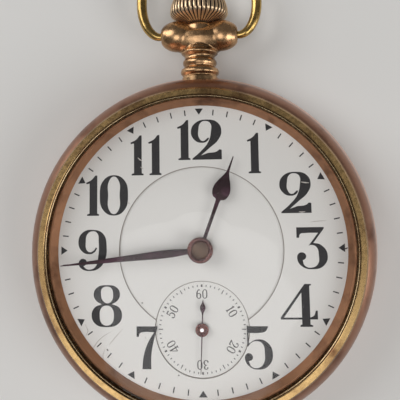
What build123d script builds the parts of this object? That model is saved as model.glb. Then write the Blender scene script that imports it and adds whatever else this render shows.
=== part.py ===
from build123d import *
import os
from math import acos, asin, atan2, cos, degrees, hypot, pi, radians, sin, sqrt

# Open face pocket watch, 16 size, lying on its back. Millimetres.
# +Z comes out of the dial, +Y points to twelve o'clock and the pendant, and the
# origin is the centre of the back cover's flat resting face.

# ---------------------------------------------------------------- fits
RUN = 0.04          # radial running clearance of pivots and pipes
SLIP = 0.02         # clearance between pieces that are assembled tight
AIR = 0.15          # free air between moving pieces

# ---------------------------------------------------------------- levels, from the back
COVER_T = 0.9       # back cover wall
COVER_GAP = 1.6     # back cover to winding wheels
WIND_T = 0.6        # crown wheel and ratchet wheel
BRIDGE_T = 1.0      # bridges
TRAIN_H = 2.7       # between bridges and pillar plate
PLATE_T = 2.0       # pillar plate
DIAL_T = 0.8        # enamel dial
CENTRE_SINK = 0.15  # dial centre below the hour ring
SECONDS_SINK = 0.3  # seconds dial below the hour ring

z_wind = COVER_T + COVER_GAP
z_bridge = z_wind + WIND_T
z_train = z_bridge + BRIDGE_T
z_plate = z_train + TRAIN_H
z_seat = z_plate + PLATE_T
z_dial = z_seat + DIAL_T

# ---------------------------------------------------------------- movement and watch case, across
PLATE_R = 21.6      # pillar plate, 16 size: everything across follows from it
SEAT_W = 1.2        # ledge inside the band that carries the pillar plate
LEDGE_T = 1.05
BAND_ROOM = 1.0     # plate's edge to the band's bore
BAND_WALL = 1.6     # wall of the band's spigots
BAND_OUT = 1.0      # shoulder of the band outside its spigots
BAND_SHOULDER = 0.8  # band's bulge beyond its shoulders
SPIGOT_BACK = 0.85  # height of the back spigot
DIAL_IN = 0.1       # dial inside the plate's edge
BEZEL_OVER = 0.4    # bezel's inner edge over the dial
BEZEL_LEDGE = 1.34  # bezel's inner edge to the glass's edge
BEZEL_BEAD = 1.06   # glass's edge to the bezel's bead

LEDGE_R = PLATE_R - SEAT_W
BAND_BORE_R = PLATE_R + BAND_ROOM
SPIGOT_R = BAND_BORE_R + BAND_WALL
SHOULDER_R = SPIGOT_R + BAND_OUT
CASE_R = SHOULDER_R + BAND_SHOULDER
REST_R = 0.615 * CASE_R     # flat of the back cover
DIAL_R = PLATE_R - DIAL_IN
DIAL_SHOW_R = DIAL_R - BEZEL_OVER
GLASS_R = DIAL_SHOW_R + BEZEL_LEDGE
BEZEL_BEAD_R = GLASS_R + BEZEL_BEAD

# ---------------------------------------------------------------- watch case, heights
BAND_Z0 = z_wind + 0.8      # joint between back cover and band
BAND_Z1 = z_seat - 0.9      # joint between band and bezel
GLASS_Z = z_dial + 1.5      # glass seat
GLASS_EDGE_T = 0.85
GLASS_T = 1.0       # glass, middle
GLASS_TOP = GLASS_Z + 2.1   # glass, highest point
BEZEL_LIP = 0.36    # lip of the bezel over the glass
BEZEL_TOP = GLASS_Z + GLASS_EDGE_T + 0.5

# ---------------------------------------------------------------- pendant, crown, bow
CONTRATE_DIP = 0.33  # winding pinion's tips into the crown wheel
BEAD_R = 3.02       # rounded bead at the foot of the neck
BEAD_Y = CASE_R + 1.0
NECK_R = 2.42       # narrowest part of the neck
NECK_Y = CASE_R + 3.1
NECK_TOP_Y = CASE_R + 4.2   # flared lip under the head
BARREL_Y = CASE_R + 6.85    # axis of the bow, across the head
PENDANT_TOP_Y = BARREL_Y + 1.85
EAR_X = 6.05        # end face of each ear
EAR_LOBE_X = 3.75   # fattest part of each ear
EAR_LOBE_R = 2.25
EAR_END_R = 1.35
EAR_WAIST_R = 1.9
BOW_PIN_R = 0.65
BOW_PIN_DEPTH = 1.35
BOW_WIRE_R = 0.8
BOW_HALF_W = 9.15   # to the wire's centre line
BOW_CORNER_R = 2.95  # corners beside the ears
BOW_ARCH_Y = BARREL_Y + 6.0  # where the arch begins
CROWN_R = 4.6
CROWN_Y = BARREL_Y + 3.55   # widest part of the crown
CROWN_UNDER_Y = BARREL_Y + 2.1
CROWN_SLOPE = 0.65  # rise of the crown's under side to its skirt
CROWN_TOP_Y = BARREL_Y + 7.75
CROWN_CAP_R = 1.5
CROWN_FLUTES = 40
FLUTE_DEPTH = 0.22
STEM_SQUARE = 1.2
STEM_R = 0.95
SLEEVE_R = 1.7
SLEEVE_BORE = 1.3
CROWN_PULL = 1.2    # travel from winding to setting

# ---------------------------------------------------------------- dial and hands
SECONDS_Y = -0.5255 * PLATE_R       # fourth arbor below the centre
SECONDS_DIAL_R = 0.315 * PLATE_R
CENTRE_DIAL_R = PLATE_R / 1.8
DIAL_FOOT_R = 0.45
DIAL_FOOT_IN = 2.3          # dial feet inside the plate's edge
DIAL_FOOT_ANGLES = (38, 150, 270)
DIAL_FEET = [((PLATE_R - DIAL_FOOT_IN) * cos(radians(a)), (PLATE_R - DIAL_FOOT_IN) * sin(radians(a)))
             for a in DIAL_FOOT_ANGLES]
HOUR_HAND_L = 0.66 * PLATE_R
HOUR_HAND_Z = z_dial + 0.75
HOUR_HAND_T = 0.2
MINUTE_HAND_L = 0.944 * PLATE_R
MINUTE_HAND_Z = z_dial + 1.5
MINUTE_HAND_T = 0.2
SECONDS_HAND_L = 0.9 * SECONDS_DIAL_R
SECONDS_TAIL_L = 0.62 * SECONDS_DIAL_R
SECONDS_HAND_Z = z_dial + 0.15
SECONDS_HAND_T = 0.14
HUB_R = 1.85
HUB_TOP = MINUTE_HAND_Z + 0.7
HOUR_HAND_ANGLE = 20.5      # degrees clockwise from twelve
MINUTE_HAND_ANGLE = 264.2
SECONDS_HAND_ANGLE = 182.5

# ---------------------------------------------------------------- train (teeth, modules)
BARREL_M = PLATE_R / 86.4
CENTRE_M = 0.85 * BARREL_M
THIRD_M = 0.8 * BARREL_M
FOURTH_M = 0.64 * BARREL_M
MOTION_M = 0.72 * BARREL_M
WIND_M = 1.4 * BARREL_M
BARREL_TEETH, CENTRE_PINION = 72, 12
CENTRE_TEETH, THIRD_PINION = 64, 8
THIRD_TEETH, FOURTH_PINION = 60, 8
FOURTH_TEETH, ESCAPE_PINION = 70, 7
CANNON_TEETH, MINUTE_TEETH, MINUTE_PINION, HOUR_TEETH = 10, 30, 8, 32
SETTING_TEETH = 36
RATCHET_TEETH, CROWN_TEETH, WINDER_TEETH = 40, 24, 14
ESCAPE_TEETH = 15
ESCAPE_R = 0.148 * PLATE_R
WHEEL_T = 0.28      # train wheels
ARBOR_R = 0.4
PIVOT_R = 0.16
JEWEL_R = 0.7
JEWEL_T = 0.3
BARREL_DIRECTION = 30       # degrees from +X, seen from the dial
ESCAPE_DIRECTION = -50      # of the escape wheel from the fourth wheel
BALANCE_XY = (0.421 * PLATE_R, -0.431 * PLATE_R)
BALANCE_R = 0.31 * PLATE_R
BALANCE_RIM_W = 0.75
BALANCE_T = 0.7
TIMING_SCREW_L = 0.68
TIMING_SCREW_R = 0.27
TIMING_SCREWS = 12
HAIR_R = 0.1435 * PLATE_R
HAIR_W = 0.1
HAIR_TURNS = 6
ROLLER_R = 1.35
ROLLER_JEWEL_AT = 0.85
ROLLER_JEWEL_R = 0.13
FORK_ROCK = 5               # degrees each side of the middle
COCK_FOOT_R = 2.3
COCK_FOOT_IN = 2.45         # cock's foot inside the ledge
COCK_FOOT_ANGLE = -11.6
COCK_T = 0.85
COCK_GAP = 0.55             # cock to the balance arms, where the hairspring lies
REGULATOR_T = 0.25
SCREW_R = 0.55
SCREW_HEAD_R = 1.05
SCREW_HEAD_T = 0.4
CASE_SCREW_HEAD_R = 1.3
FOOT_R = 1.25               # pillars under the bridges
FOOT_IN = 0.9               # pillars inside the ledge
BARREL_FOOT_ANGLES = (174.4, 126.5, 50.8)
TRAIN_FOOT_ANGLES = (195.4, 227.1, 258.5)
PALLET_FOOT_ANGLE = -56
CASE_SCREW_ANGLES = (158, 6)
CASE_SCREW_IN = 0.8         # case screws inside the ledge
BRIDGE_R = PLATE_R - 0.4
BRIDGE_SPLIT_Y = -0.127 * PLATE_R   # joint between barrel bridge and train bridge

CENTRE, LOW = Align.CENTER, Align.MIN
UPRIGHT = (CENTRE, CENTRE, LOW)


# ---------------------------------------------------------------- shapes
def disc(x, y, r, z0, z1):
    return Pos(x, y, z0) * Cylinder(r, z1 - z0, align=UPRIGHT)


def ring(x, y, r, bore, z0, z1):
    return disc(x, y, r, z0, z1) - disc(x, y, bore, z0 - 1, z1 + 1)


def block(x0, x1, y0, y1, z0, z1):
    return Pos(x0, y0, z0) * Box(x1 - x0, y1 - y0, z1 - z0, align=(LOW, LOW, LOW))


def outline(steps):
    """Closed face in the XY plane. A step is a point, or (middle, end) of an arc."""
    edges, here = [], steps[0]
    for step in steps[1:] + [steps[0]]:
        if isinstance(step[0], tuple):
            edges.append(Edge.make_three_point_arc(Vector(*here), Vector(*step[0]), Vector(*step[1])))
            here = step[1]
        elif hypot(step[0] - here[0], step[1] - here[1]) > 1e-6:
            edges.append(Edge.make_line(Vector(*here), Vector(*step)))
            here = step
    return make_face(Wire(edges))


def plate(steps, z0, z1):
    return extrude(Pos(0, 0, z0) * outline(steps), z1 - z0)


def turned(steps):
    """Solid of revolution about +Z from a profile of (radius, height) steps."""
    return revolve(Rot(90, 0, 0) * outline(steps), Axis.Z, 360)


def turned_at(x, y, steps):
    return Pos(x, y, 0) * turned(steps)


def turned_y(steps):
    """Solid of revolution about the stem's axis from (radius, y) steps."""
    return Pos(0, 0, z_stem) * revolve(outline(steps), Axis.Y, 360)


def turned_x(steps):
    """Solid of revolution about the bow's axis from (x, radius) steps."""
    return Pos(0, BARREL_Y, z_stem) * revolve(outline(steps), Axis.X, 360)


def rod_y(r, y0, y1, x=0.0, z=None):
    z = z_stem if z is None else z
    return Pos(x, y0, z) * Rot(-90, 0, 0) * Cylinder(r, y1 - y0, align=UPRIGHT)


def fuse(pieces):
    pieces = list(pieces)
    return pieces[0].fuse(*pieces[1:]) if len(pieces) > 1 else pieces[0]


def group(pieces):
    return Compound(children=list(pieces))


def cap(r, z_edge, z_top):
    """Last step of a profile: a spherical cap from (r, z_edge) to its crest on the axis."""
    drop = z_top - z_edge
    big = (r * r + drop * drop) / (2 * drop)
    half = asin(r / abs(big)) / 2
    return ((abs(big) * sin(half), z_top - big * (1 - cos(half))), (0, z_top))


def polar(r, degrees_, x=0.0, y=0.0):
    return (x + r * cos(radians(degrees_)), y + r * sin(radians(degrees_)))


# ---------------------------------------------------------------- gears
WHEEL_TOOTH = dict(width=0.44, tip=0.5, add=0.9, ded=1.2)
LEAF = dict(width=0.40, tip=0.6, add=0.7, ded=1.3)


def pitch_r(teeth, module):
    return teeth * module / 2


def tip_r(teeth, module, form=WHEEL_TOOTH):
    return pitch_r(teeth, module) + form["add"] * module


def gear(teeth, module, phase, form, z0, z1, x=0.0, y=0.0):
    """Toothed disc. phase is the direction of one tooth's middle, in degrees."""
    root = pitch_r(teeth, module) - form["ded"] * module
    tip = tip_r(teeth, module, form)
    half = form["width"] * 180 / teeth
    points = []
    for i in range(teeth):
        middle = phase + i * 360 / teeth
        points += [polar(root, middle - 1.2 * half, x, y), polar(tip, middle - half * form["tip"], x, y),
                   polar(tip, middle + half * form["tip"], x, y), polar(root, middle + 1.2 * half, x, y)]
    return extrude(Pos(0, 0, z0) * make_face(Polyline(*points, close=True)), z1 - z0)


def meshed(phase_a, teeth_a, teeth_b, direction):
    """Phase of gear B that sets its teeth in the gaps of gear A along direction, in degrees."""
    tooth_a = (direction - phase_a) * teeth_a / 360
    return direction + 180 + (0.5 + tooth_a) * 360 / teeth_b


def spokes(x, y, r_out, r_in, arms, width, z0, z1, turn=0.0):
    """Cutter for the windows between the arms of a wheel."""
    blank = ring(x, y, r_out, r_in, z0 - AIR, z1 + AIR)
    bars = [Pos(x, y, 0) * Rot(0, 0, turn + i * 360 / arms)
            * Pos(0, -width / 2, z0 - 2 * AIR) * Box(r_out + 1, width, z1 - z0 + 4 * AIR, align=(LOW, LOW, LOW))
            for i in range(arms)]
    return blank - fuse(bars)


def direction_of(a, b):
    return degrees(atan2(b[1] - a[1], b[0] - a[0]))


# ---------------------------------------------------------------- places of the wheels
CENTRE_XY = (0.0, 0.0)
BARREL_XY = polar((BARREL_TEETH + CENTRE_PINION) * BARREL_M / 2, BARREL_DIRECTION)
FOURTH_XY = (0.0, SECONDS_Y)
centre_third = (CENTRE_TEETH + THIRD_PINION) * CENTRE_M / 2
third_fourth = (THIRD_TEETH + FOURTH_PINION) * THIRD_M / 2
third_y = -(centre_third ** 2 - third_fourth ** 2 + SECONDS_Y ** 2) / (2 * -SECONDS_Y)
THIRD_XY = (-sqrt(centre_third ** 2 - third_y ** 2), third_y)
ESCAPE_XY = polar(tip_r(FOURTH_TEETH, FOURTH_M) + tip_r(ESCAPE_PINION, FOURTH_M, LEAF) + AIR / 2,
                  ESCAPE_DIRECTION, *FOURTH_XY)
escape_pallet = ESCAPE_R / cos(radians(30))
ESCAPE_TO_BALANCE = direction_of(ESCAPE_XY, BALANCE_XY)
PALLET_XY = polar(escape_pallet, ESCAPE_TO_BALANCE, *ESCAPE_XY)
crown_ratchet = (CROWN_TEETH + RATCHET_TEETH) * WIND_M / 2
CROWN_WHEEL_XY = (0.0, BARREL_XY[1] + sqrt(crown_ratchet ** 2 - BARREL_XY[0] ** 2))
winder_tip = tip_r(WINDER_TEETH, WIND_M, LEAF)
z_stem = z_bridge - CONTRATE_DIP + winder_tip
motion_distance = (CANNON_TEETH + MINUTE_TEETH) * MOTION_M / 2
MINUTE_DIRECTION = 76
MINUTE_XY = polar(motion_distance, MINUTE_DIRECTION)
SETTING_XY = (MINUTE_XY[0], MINUTE_XY[1] + (MINUTE_TEETH + SETTING_TEETH) * MOTION_M / 2)

# levels of the wheels
z_centre_wheel = z_train + 0.25
z_third_wheel = z_centre_wheel + 0.75
z_escape = z_third_wheel + 0.35
z_fourth_wheel = z_third_wheel + 0.95
z_barrel = z_centre_wheel + WHEEL_T + 0.22
BARREL_H = 1.8
BARREL_FLANGE_T = 0.55
z_balance = z_bridge + 0.25
z_cock = z_balance - COCK_GAP
z_roller = z_escape - 0.55
z_motion = z_seat - 1.35            # floor of the motion work recess

# phases that put every pair in mesh
centre_phase = 0.0
third_pinion_phase = meshed(centre_phase, CENTRE_TEETH, THIRD_PINION, direction_of(CENTRE_XY, THIRD_XY))
third_phase = 0.0
fourth_pinion_phase = meshed(third_phase, THIRD_TEETH, FOURTH_PINION, direction_of(THIRD_XY, FOURTH_XY))
centre_pinion_phase = 0.0
barrel_phase = meshed(centre_pinion_phase, CENTRE_PINION, BARREL_TEETH, direction_of(CENTRE_XY, BARREL_XY))
cannon_phase = 0.0
minute_phase = meshed(cannon_phase, CANNON_TEETH, MINUTE_TEETH, MINUTE_DIRECTION)
minute_pinion_phase = 0.0
hour_phase = meshed(minute_pinion_phase, MINUTE_PINION, HOUR_TEETH, MINUTE_DIRECTION + 180)
setting_phase = meshed(minute_phase, MINUTE_TEETH, SETTING_TEETH, 90)
crown_phase = 90.0 + 180 / CROWN_TEETH     # a gap faces the winding pinion
ratchet_phase = meshed(crown_phase, CROWN_TEETH, RATCHET_TEETH, direction_of(CROWN_WHEEL_XY, BARREL_XY))


# ---------------------------------------------------------------- watch case
def band_profile():
    spigot0 = BAND_Z0 - SPIGOT_BACK
    spigot1 = z_dial - 0.3
    middle = (BAND_Z0 + BAND_Z1) / 2
    seat_under = z_plate - LEDGE_T
    return [(SPIGOT_R, spigot0), (SPIGOT_R, BAND_Z0), (SHOULDER_R, BAND_Z0),
            ((CASE_R, middle), (SHOULDER_R, BAND_Z1)), (SPIGOT_R, BAND_Z1), (SPIGOT_R, spigot1),
            (PLATE_R + RUN, spigot1), (PLATE_R + RUN, z_plate), (LEDGE_R, z_plate), (LEDGE_R, seat_under),
            (BAND_BORE_R, seat_under), (BAND_BORE_R, spigot0)]


def make_case_band():
    return turned(band_profile()) - rod_y(SLEEVE_R + SLIP, LEDGE_R - 1, CASE_R + 1)


def bowl(reach, depth, z0):
    """Rising steps of a shallow bowl whose wall turns up from its flat to its rim."""
    across = reach - REST_R
    return [(REST_R + across * sin(t), z0 + depth * (1 - cos(t))) for t in (pi / 6, pi / 3, pi / 2.4, pi / 2)]


def make_back_cover():
    wall_r = SPIGOT_R + SLIP
    edge = BAND_Z0 - SLIP
    inner_depth = edge - SPIGOT_BACK - COVER_T
    outside = [(0, 0), (REST_R, 0)] + bowl(SHOULDER_R, edge, 0)
    inside = [(wall_r, edge)] + bowl(wall_r, inner_depth, COVER_T)[::-1] + [(REST_R, COVER_T), (0, COVER_T)]
    return turned(outside + inside)


def make_bezel():
    skirt = SPIGOT_R + SLIP
    groove_r = GLASS_R + RUN
    lip_r = GLASS_R - BEZEL_LIP
    groove_top = GLASS_Z + GLASS_EDGE_T + RUN
    low = z_dial + 0.06
    foot = BAND_Z1 + SLIP
    ledge_r = (DIAL_SHOW_R + GLASS_R) / 2
    flank = ((BEZEL_BEAD_R + SHOULDER_R) / 2 + 0.35, (BEZEL_TOP + foot) / 2 + 0.4)
    return turned([(DIAL_SHOW_R, low), (ledge_r, GLASS_Z - RUN), (groove_r, GLASS_Z - RUN),
                   (groove_r, groove_top), (lip_r, groove_top + 0.1), (lip_r + 0.4, BEZEL_TOP),
                   (BEZEL_BEAD_R - 0.3, BEZEL_TOP), (BEZEL_BEAD_R, BEZEL_TOP - 0.5),
                   (flank, (SHOULDER_R, foot)), (skirt, foot), (skirt, low)])


def dome(r, z_edge, z_top, steps=4):
    """Conical steps of a shallow dome, from its edge at radius r to its crest."""
    drop = z_top - z_edge
    big = (r * r + drop * drop) / (2 * drop)
    whole = asin(r / big)
    angles = [whole * (1 - i / steps) for i in range(steps + 1)]
    return [(big * sin(t), z_top - big * (1 - cos(t))) for t in angles]


def make_crystal():
    inner_r = (DIAL_SHOW_R + GLASS_R) / 2 + 0.1
    neck_r = GLASS_R - BEZEL_LIP - RUN
    edge_top = GLASS_Z + GLASS_EDGE_T
    upper = dome(neck_r, edge_top + RUN, GLASS_TOP)
    lower = dome(inner_r, GLASS_Z, GLASS_TOP - GLASS_T)
    return turned([(GLASS_R, GLASS_Z), (GLASS_R, edge_top)] + upper + lower[::-1])


def make_pendant():
    """Neck on the band, with a cross barrel whose ears take the bow."""
    bore = SLEEVE_R + SLIP
    foot_y = sqrt(SHOULDER_R ** 2 - BEAD_R ** 2) - 0.25
    waist = NECK_R + 0.3
    collar = NECK_R + 0.15
    neck = [(bore, foot_y), (waist, foot_y), (waist, BEAD_Y - 0.7), ((BEAD_R, BEAD_Y), (waist, BEAD_Y + 0.7)),
            (NECK_R, NECK_Y - 0.7), (NECK_R, NECK_Y), (NECK_R + 0.4, NECK_TOP_Y), (collar, NECK_TOP_Y + 0.2),
            (collar, PENDANT_TOP_Y), (bore, PENDANT_TOP_Y)]
    saddle, lobe = (EAR_LOBE_X - 1.5, EAR_WAIST_R), (EAR_LOBE_X, EAR_LOBE_R)
    bend, end = (EAR_X - 0.55, (EAR_LOBE_R + EAR_END_R) / 2 + 0.15), (EAR_X, EAR_END_R)

    def left(step):
        return (-step[0], step[1])

    head = turned_x([(-EAR_X, 0), left(end), (left(bend), left(lobe)), left(saddle),
                     saddle, lobe, (bend, end), (EAR_X, 0)])
    solid = fuse([turned_y(neck), head]) - rod_y(bore, foot_y - 2, PENDANT_TOP_Y + 2)
    pins = [Pos(side * EAR_X, BARREL_Y, z_stem) * Rot(0, 90, 0)
            * Cylinder(BOW_PIN_R + RUN, 2 * (BOW_PIN_DEPTH + AIR)) for side in (-1, 1)]
    bulge = (CASE_R, (BAND_Z0 + BAND_Z1) / 2)
    band_outside = turned([(0, BAND_Z0), (SHOULDER_R, BAND_Z0), (bulge, (SHOULDER_R, BAND_Z1)), (0, BAND_Z1)])
    return solid.cut(*pins, band_outside, disc(0, 0, SHOULDER_R + RUN, 0, 2 * BAND_Z1))


def make_pendant_sleeve():
    return rod_y(SLEEVE_R, PLATE_R + 0.5, PENDANT_TOP_Y - 1.2) - rod_y(SLEEVE_BORE, PLATE_R, PENDANT_TOP_Y)


def make_bow():
    """Round wire bent to a stirrup, with a pin at each end that turns in the pendant's ears."""
    turn_x = BOW_HALF_W - BOW_CORNER_R
    slant = BOW_CORNER_R * sin(pi / 4)

    def at(x, y):
        return Vector(x, y, z_stem)

    def corner(side):
        middle = at(side * (turn_x + slant), BARREL_Y + BOW_CORNER_R - slant)
        return Edge.make_three_point_arc(at(side * turn_x, BARREL_Y), middle,
                                         at(side * BOW_HALF_W, BARREL_Y + BOW_CORNER_R))

    sides = [Edge.make_line(at(side * BOW_HALF_W, BARREL_Y + BOW_CORNER_R), at(side * BOW_HALF_W, BOW_ARCH_Y))
             for side in (-1, 1)]
    arch = Edge.make_three_point_arc(at(-BOW_HALF_W, BOW_ARCH_Y), at(0, BOW_ARCH_Y + BOW_HALF_W),
                                     at(BOW_HALF_W, BOW_ARCH_Y))
    path = Wire([corner(-1), sides[0], arch, sides[1], corner(1)])
    wire = sweep(Plane(origin=at(-turn_x, BARREL_Y), z_dir=(1, 0, 0)) * Circle(BOW_WIRE_R), path)
    pin_x = EAR_X - BOW_PIN_DEPTH
    pins = [Pos(side * (pin_x + turn_x) / 2, BARREL_Y, z_stem) * Rot(0, 90, 0)
            * Cylinder(BOW_PIN_R, turn_x - pin_x + 0.2) for side in (-1, 1)]
    return fuse([wire] + pins)


def make_crown():
    """Fluted crown: star shaped sections that follow its rounded profile."""
    rise = CROWN_TOP_Y - CROWN_Y
    skirt_y = CROWN_UNDER_Y + CROWN_SLOPE
    profile = [(CROWN_R - 0.15, skirt_y), (CROWN_R, CROWN_Y - 0.2)]
    for t in (0.16, 0.42, 0.68, 0.9):
        profile.append((CROWN_CAP_R + (CROWN_R - CROWN_CAP_R) * cos(t * pi / 2), CROWN_Y + rise * sin(t * pi / 2)))

    def star(r, y):
        points = []
        for i in range(CROWN_FLUTES):
            middle = i * 360 / CROWN_FLUTES
            points += [polar(r, middle), polar(r - FLUTE_DEPTH, middle + 180 / CROWN_FLUTES)]
        return Pos(0, y, z_stem) * Rot(-90, 0, 0) * make_face(Polyline(*points, close=True))

    body = loft([star(r, y) for r, y in profile], ruled=True)
    cap_r, cap_y = profile[-1]
    under = turned_y([(0, CROWN_UNDER_Y), (SLEEVE_R + 0.6, CROWN_UNDER_Y),
                      (CROWN_R - 0.15 - 2 * FLUTE_DEPTH, skirt_y + 0.1), (0, skirt_y + 0.1)])
    crest = turned_y([(0, cap_y - 0.3), (cap_r - FLUTE_DEPTH, cap_y - 0.3), (cap_r - FLUTE_DEPTH, cap_y),
                      (0.5 * cap_r, CROWN_TOP_Y), (0, CROWN_TOP_Y)])
    pipe = rod_y(SLEEVE_BORE - RUN, CROWN_UNDER_Y - 2.2, CROWN_UNDER_Y + 0.5)
    core = rod_y(STEM_R + SLIP, CROWN_UNDER_Y - 3, CROWN_UNDER_Y + 2)
    return fuse([body, under, crest, pipe]) - core


# ---------------------------------------------------------------- keyless work
WINDER_Y = CROWN_WHEEL_XY[1] + pitch_r(CROWN_TEETH, WIND_M) - 1.2 * WIND_M + 0.08
WINDER_T = 0.95
CLUTCH_T = 1.45
CLUTCH_R = 2.3
ARBOR_Y0, ARBOR_Y1 = PLATE_R / 1.8, PLATE_R - 0.4
WINDER_ARBOR_R = 1.1
WINDER_BEARING_R = 1.5
INNER_PIVOT_R = 0.65
INNER_PIVOT_L = 0.8
BEARING_L = 1.8
clutch_y1 = WINDER_Y - 0.12
clutch_y0 = clutch_y1 - CLUTCH_T
bearing_y0 = ARBOR_Y1 - BEARING_L


def make_winding_arbor():
    arbor = fuse([rod_y(INNER_PIVOT_R, ARBOR_Y0, ARBOR_Y0 + INNER_PIVOT_L + 0.1),
                  rod_y(WINDER_ARBOR_R, ARBOR_Y0 + INNER_PIVOT_L, bearing_y0),
                  rod_y(WINDER_BEARING_R, bearing_y0 - 0.4, ARBOR_Y1)])
    half = STEM_SQUARE / 2 + RUN
    return arbor - block(-half, half, ARBOR_Y0 + 2.2, ARBOR_Y1 + 1, z_stem - half, z_stem + half)


def make_stem():
    half = STEM_SQUARE / 2
    square_y1 = ARBOR_Y1 - 1.0 + 0.4
    square = block(-half, half, ARBOR_Y0 + 3.8, square_y1, z_stem - half, z_stem + half)
    return fuse([square, rod_y(STEM_R, square_y1 - 0.2 + CROWN_PULL, CROWN_UNDER_Y + 2 - SLIP),
                 rod_y(half, square_y1 - 0.5, square_y1 + CROWN_PULL)])


def leaves_y(teeth, module, y0, y1, bore):
    """Pinion along the stem's axis, with one leaf pointing to the back."""
    blank = gear(teeth, module, 0, LEAF, 0, y1 - y0)
    placed = Pos(0, y0, z_stem) * Rot(-90, 0, 0) * Rot(0, 0, 90) * blank
    return placed - rod_y(bore, y0 - 1, y1 + 1)


def make_winding_pinion():
    return leaves_y(WINDER_TEETH, WIND_M, WINDER_Y, WINDER_Y + WINDER_T, WINDER_ARBOR_R + SLIP)


def make_clutch():
    """Sliding clutch: face teeth at both ends and a groove for its lever."""
    r = CLUTCH_R
    body = rod_y(r, clutch_y0, clutch_y1) - rod_y(WINDER_ARBOR_R + RUN, clutch_y0 - 1, clutch_y1 + 1)
    groove_y = (clutch_y0 + clutch_y1) / 2 - 0.35
    groove = rod_y(r + 1, groove_y, groove_y + 0.7) - rod_y(r - 0.65, groove_y - 1, groove_y + 2)
    notches = []
    for i in range(12):
        notch = Pos(0, clutch_y0 + 0.1, 0) * Box(0.42, 0.5, r + 1, align=(CENTRE, CENTRE, LOW))
        notches.append(Pos(0, 0, z_stem) * Rot(0, i * 30 + 15, 0) * Pos(0, 0, r - 0.7) * notch)
    return body - groove - fuse(notches)


LEVER_PIVOT_XY = (PLATE_R / 3, 0.694 * PLATE_R)
LEVER_T = 0.3
LEVER_PIN_R = 0.27


def make_clutch_lever():
    """Lever on the dial side whose pin rides in the clutch's groove."""
    z0 = z_seat - 0.85
    y = (clutch_y0 + clutch_y1) / 2
    px, py = LEVER_PIVOT_XY
    arm = plate([(-0.5, y - 0.45), (px - 1.0, py - 0.75), (px + 0.2, py - 0.95), (px + 0.2, py + 0.95),
                 (px - 1.0, py + 0.6), (-0.5, y + 0.45)], z0, z0 + LEVER_T)
    boss = disc(px, py, 1.1, z0, z0 + LEVER_T)
    pin = disc(0, y, LEVER_PIN_R, z0 - 0.5, z0 + 0.1)
    return fuse([arm, boss, pin]) - disc(px, py, 0.45 + RUN, z0 - 1, z0 + 1)


def make_crown_wheel():
    x, y = CROWN_WHEEL_XY
    wheel = gear(CROWN_TEETH, WIND_M, crown_phase, WHEEL_TOOTH, z_wind, z_bridge - RUN, x, y)
    return wheel - disc(x, y, 1.5 + RUN, z_wind - 1, z_bridge + 1)


def make_crown_wheel_core():
    x, y = CROWN_WHEEL_XY
    return fuse([disc(x, y, 1.5, z_wind - 0.05, z_bridge), disc(x, y, 2.0, z_wind - 0.35, z_wind - 0.05)]) \
        - disc(x, y, SCREW_R + SLIP, z_wind - 1, z_bridge + 1)


def make_ratchet_wheel():
    x, y = BARREL_XY
    wheel = gear(RATCHET_TEETH, WIND_M, ratchet_phase, WHEEL_TOOTH, z_wind, z_bridge - RUN, x, y)
    half = 0.95 + SLIP
    return wheel - block(x - half, x + half, y - half, y + half, z_wind - 1, z_bridge + 1)


CLICK_DIRECTION = 62
CLICK_PIVOT_XY = polar(tip_r(RATCHET_TEETH, WIND_M) + 1.75, CLICK_DIRECTION, *BARREL_XY)
CLICK_NOSE = polar(tip_r(RATCHET_TEETH, WIND_M) + 0.1, CLICK_DIRECTION + 22, *BARREL_XY)
click_reach = hypot(*CLICK_PIVOT_XY)
click_angle = degrees(atan2(CLICK_PIVOT_XY[1], CLICK_PIVOT_XY[0]))
SPRING_FOOT_XY = polar(click_reach + 0.95, click_angle - 28)
SPRING_SCREW_R = 0.33


def make_click():
    px, py = CLICK_PIVOT_XY
    z1 = z_bridge - RUN
    back = polar(1.5, CLICK_DIRECTION - 60, px, py)
    arm = plate([polar(1.15, CLICK_DIRECTION - 20, px, py), polar(1.15, CLICK_DIRECTION + 60, px, py), CLICK_NOSE,
                 polar(0.75, CLICK_DIRECTION + 195, px, py), back], z_wind, z1)
    return fuse([arm, disc(px, py, 1.05, z_wind, z1)]) - disc(px, py, 0.5 + RUN, z_wind - 1, z1 + 1)


def make_click_spring():
    """Flat spring in the barrel bridge that presses the click home."""
    z0, z1 = z_wind + 0.1, z_bridge - RUN
    blade = ring(0, 0, click_reach + 1.55, click_reach + 1.3, z0, z1)
    reach = plate([(0, 0), polar(30, click_angle - 29.5), polar(30, click_angle - 12),
                   polar(30, click_angle + 2)], z_wind, z_bridge)
    foot = disc(*SPRING_FOOT_XY, 0.75, z0, z_bridge)
    return fuse([blade & reach, foot]) - disc(*SPRING_FOOT_XY, SPRING_SCREW_R, z_wind - 1, z_bridge + 1)


# ---------------------------------------------------------------- plates and bridges
TRAIN_AXES = dict(third=THIRD_XY, fourth=FOURTH_XY, escape=ESCAPE_XY)
BARREL_FEET = tuple(polar(LEDGE_R - FOOT_IN, a) for a in BARREL_FOOT_ANGLES)
TRAIN_FEET = tuple(polar(LEDGE_R - FOOT_IN, a) for a in TRAIN_FOOT_ANGLES)
CASE_SCREWS = tuple(polar(LEDGE_R - CASE_SCREW_IN, a) for a in CASE_SCREW_ANGLES)
BALANCE_SWEEP_R = BALANCE_R + SLIP + TIMING_SCREW_L
BALANCE_CLEAR_R = BALANCE_SWEEP_R + 0.35
PALLET_FOOT_XY = polar(LEDGE_R - FOOT_IN, PALLET_FOOT_ANGLE)
COCK_FOOT_XY = polar(LEDGE_R - COCK_FOOT_IN, COCK_FOOT_ANGLE)


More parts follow.
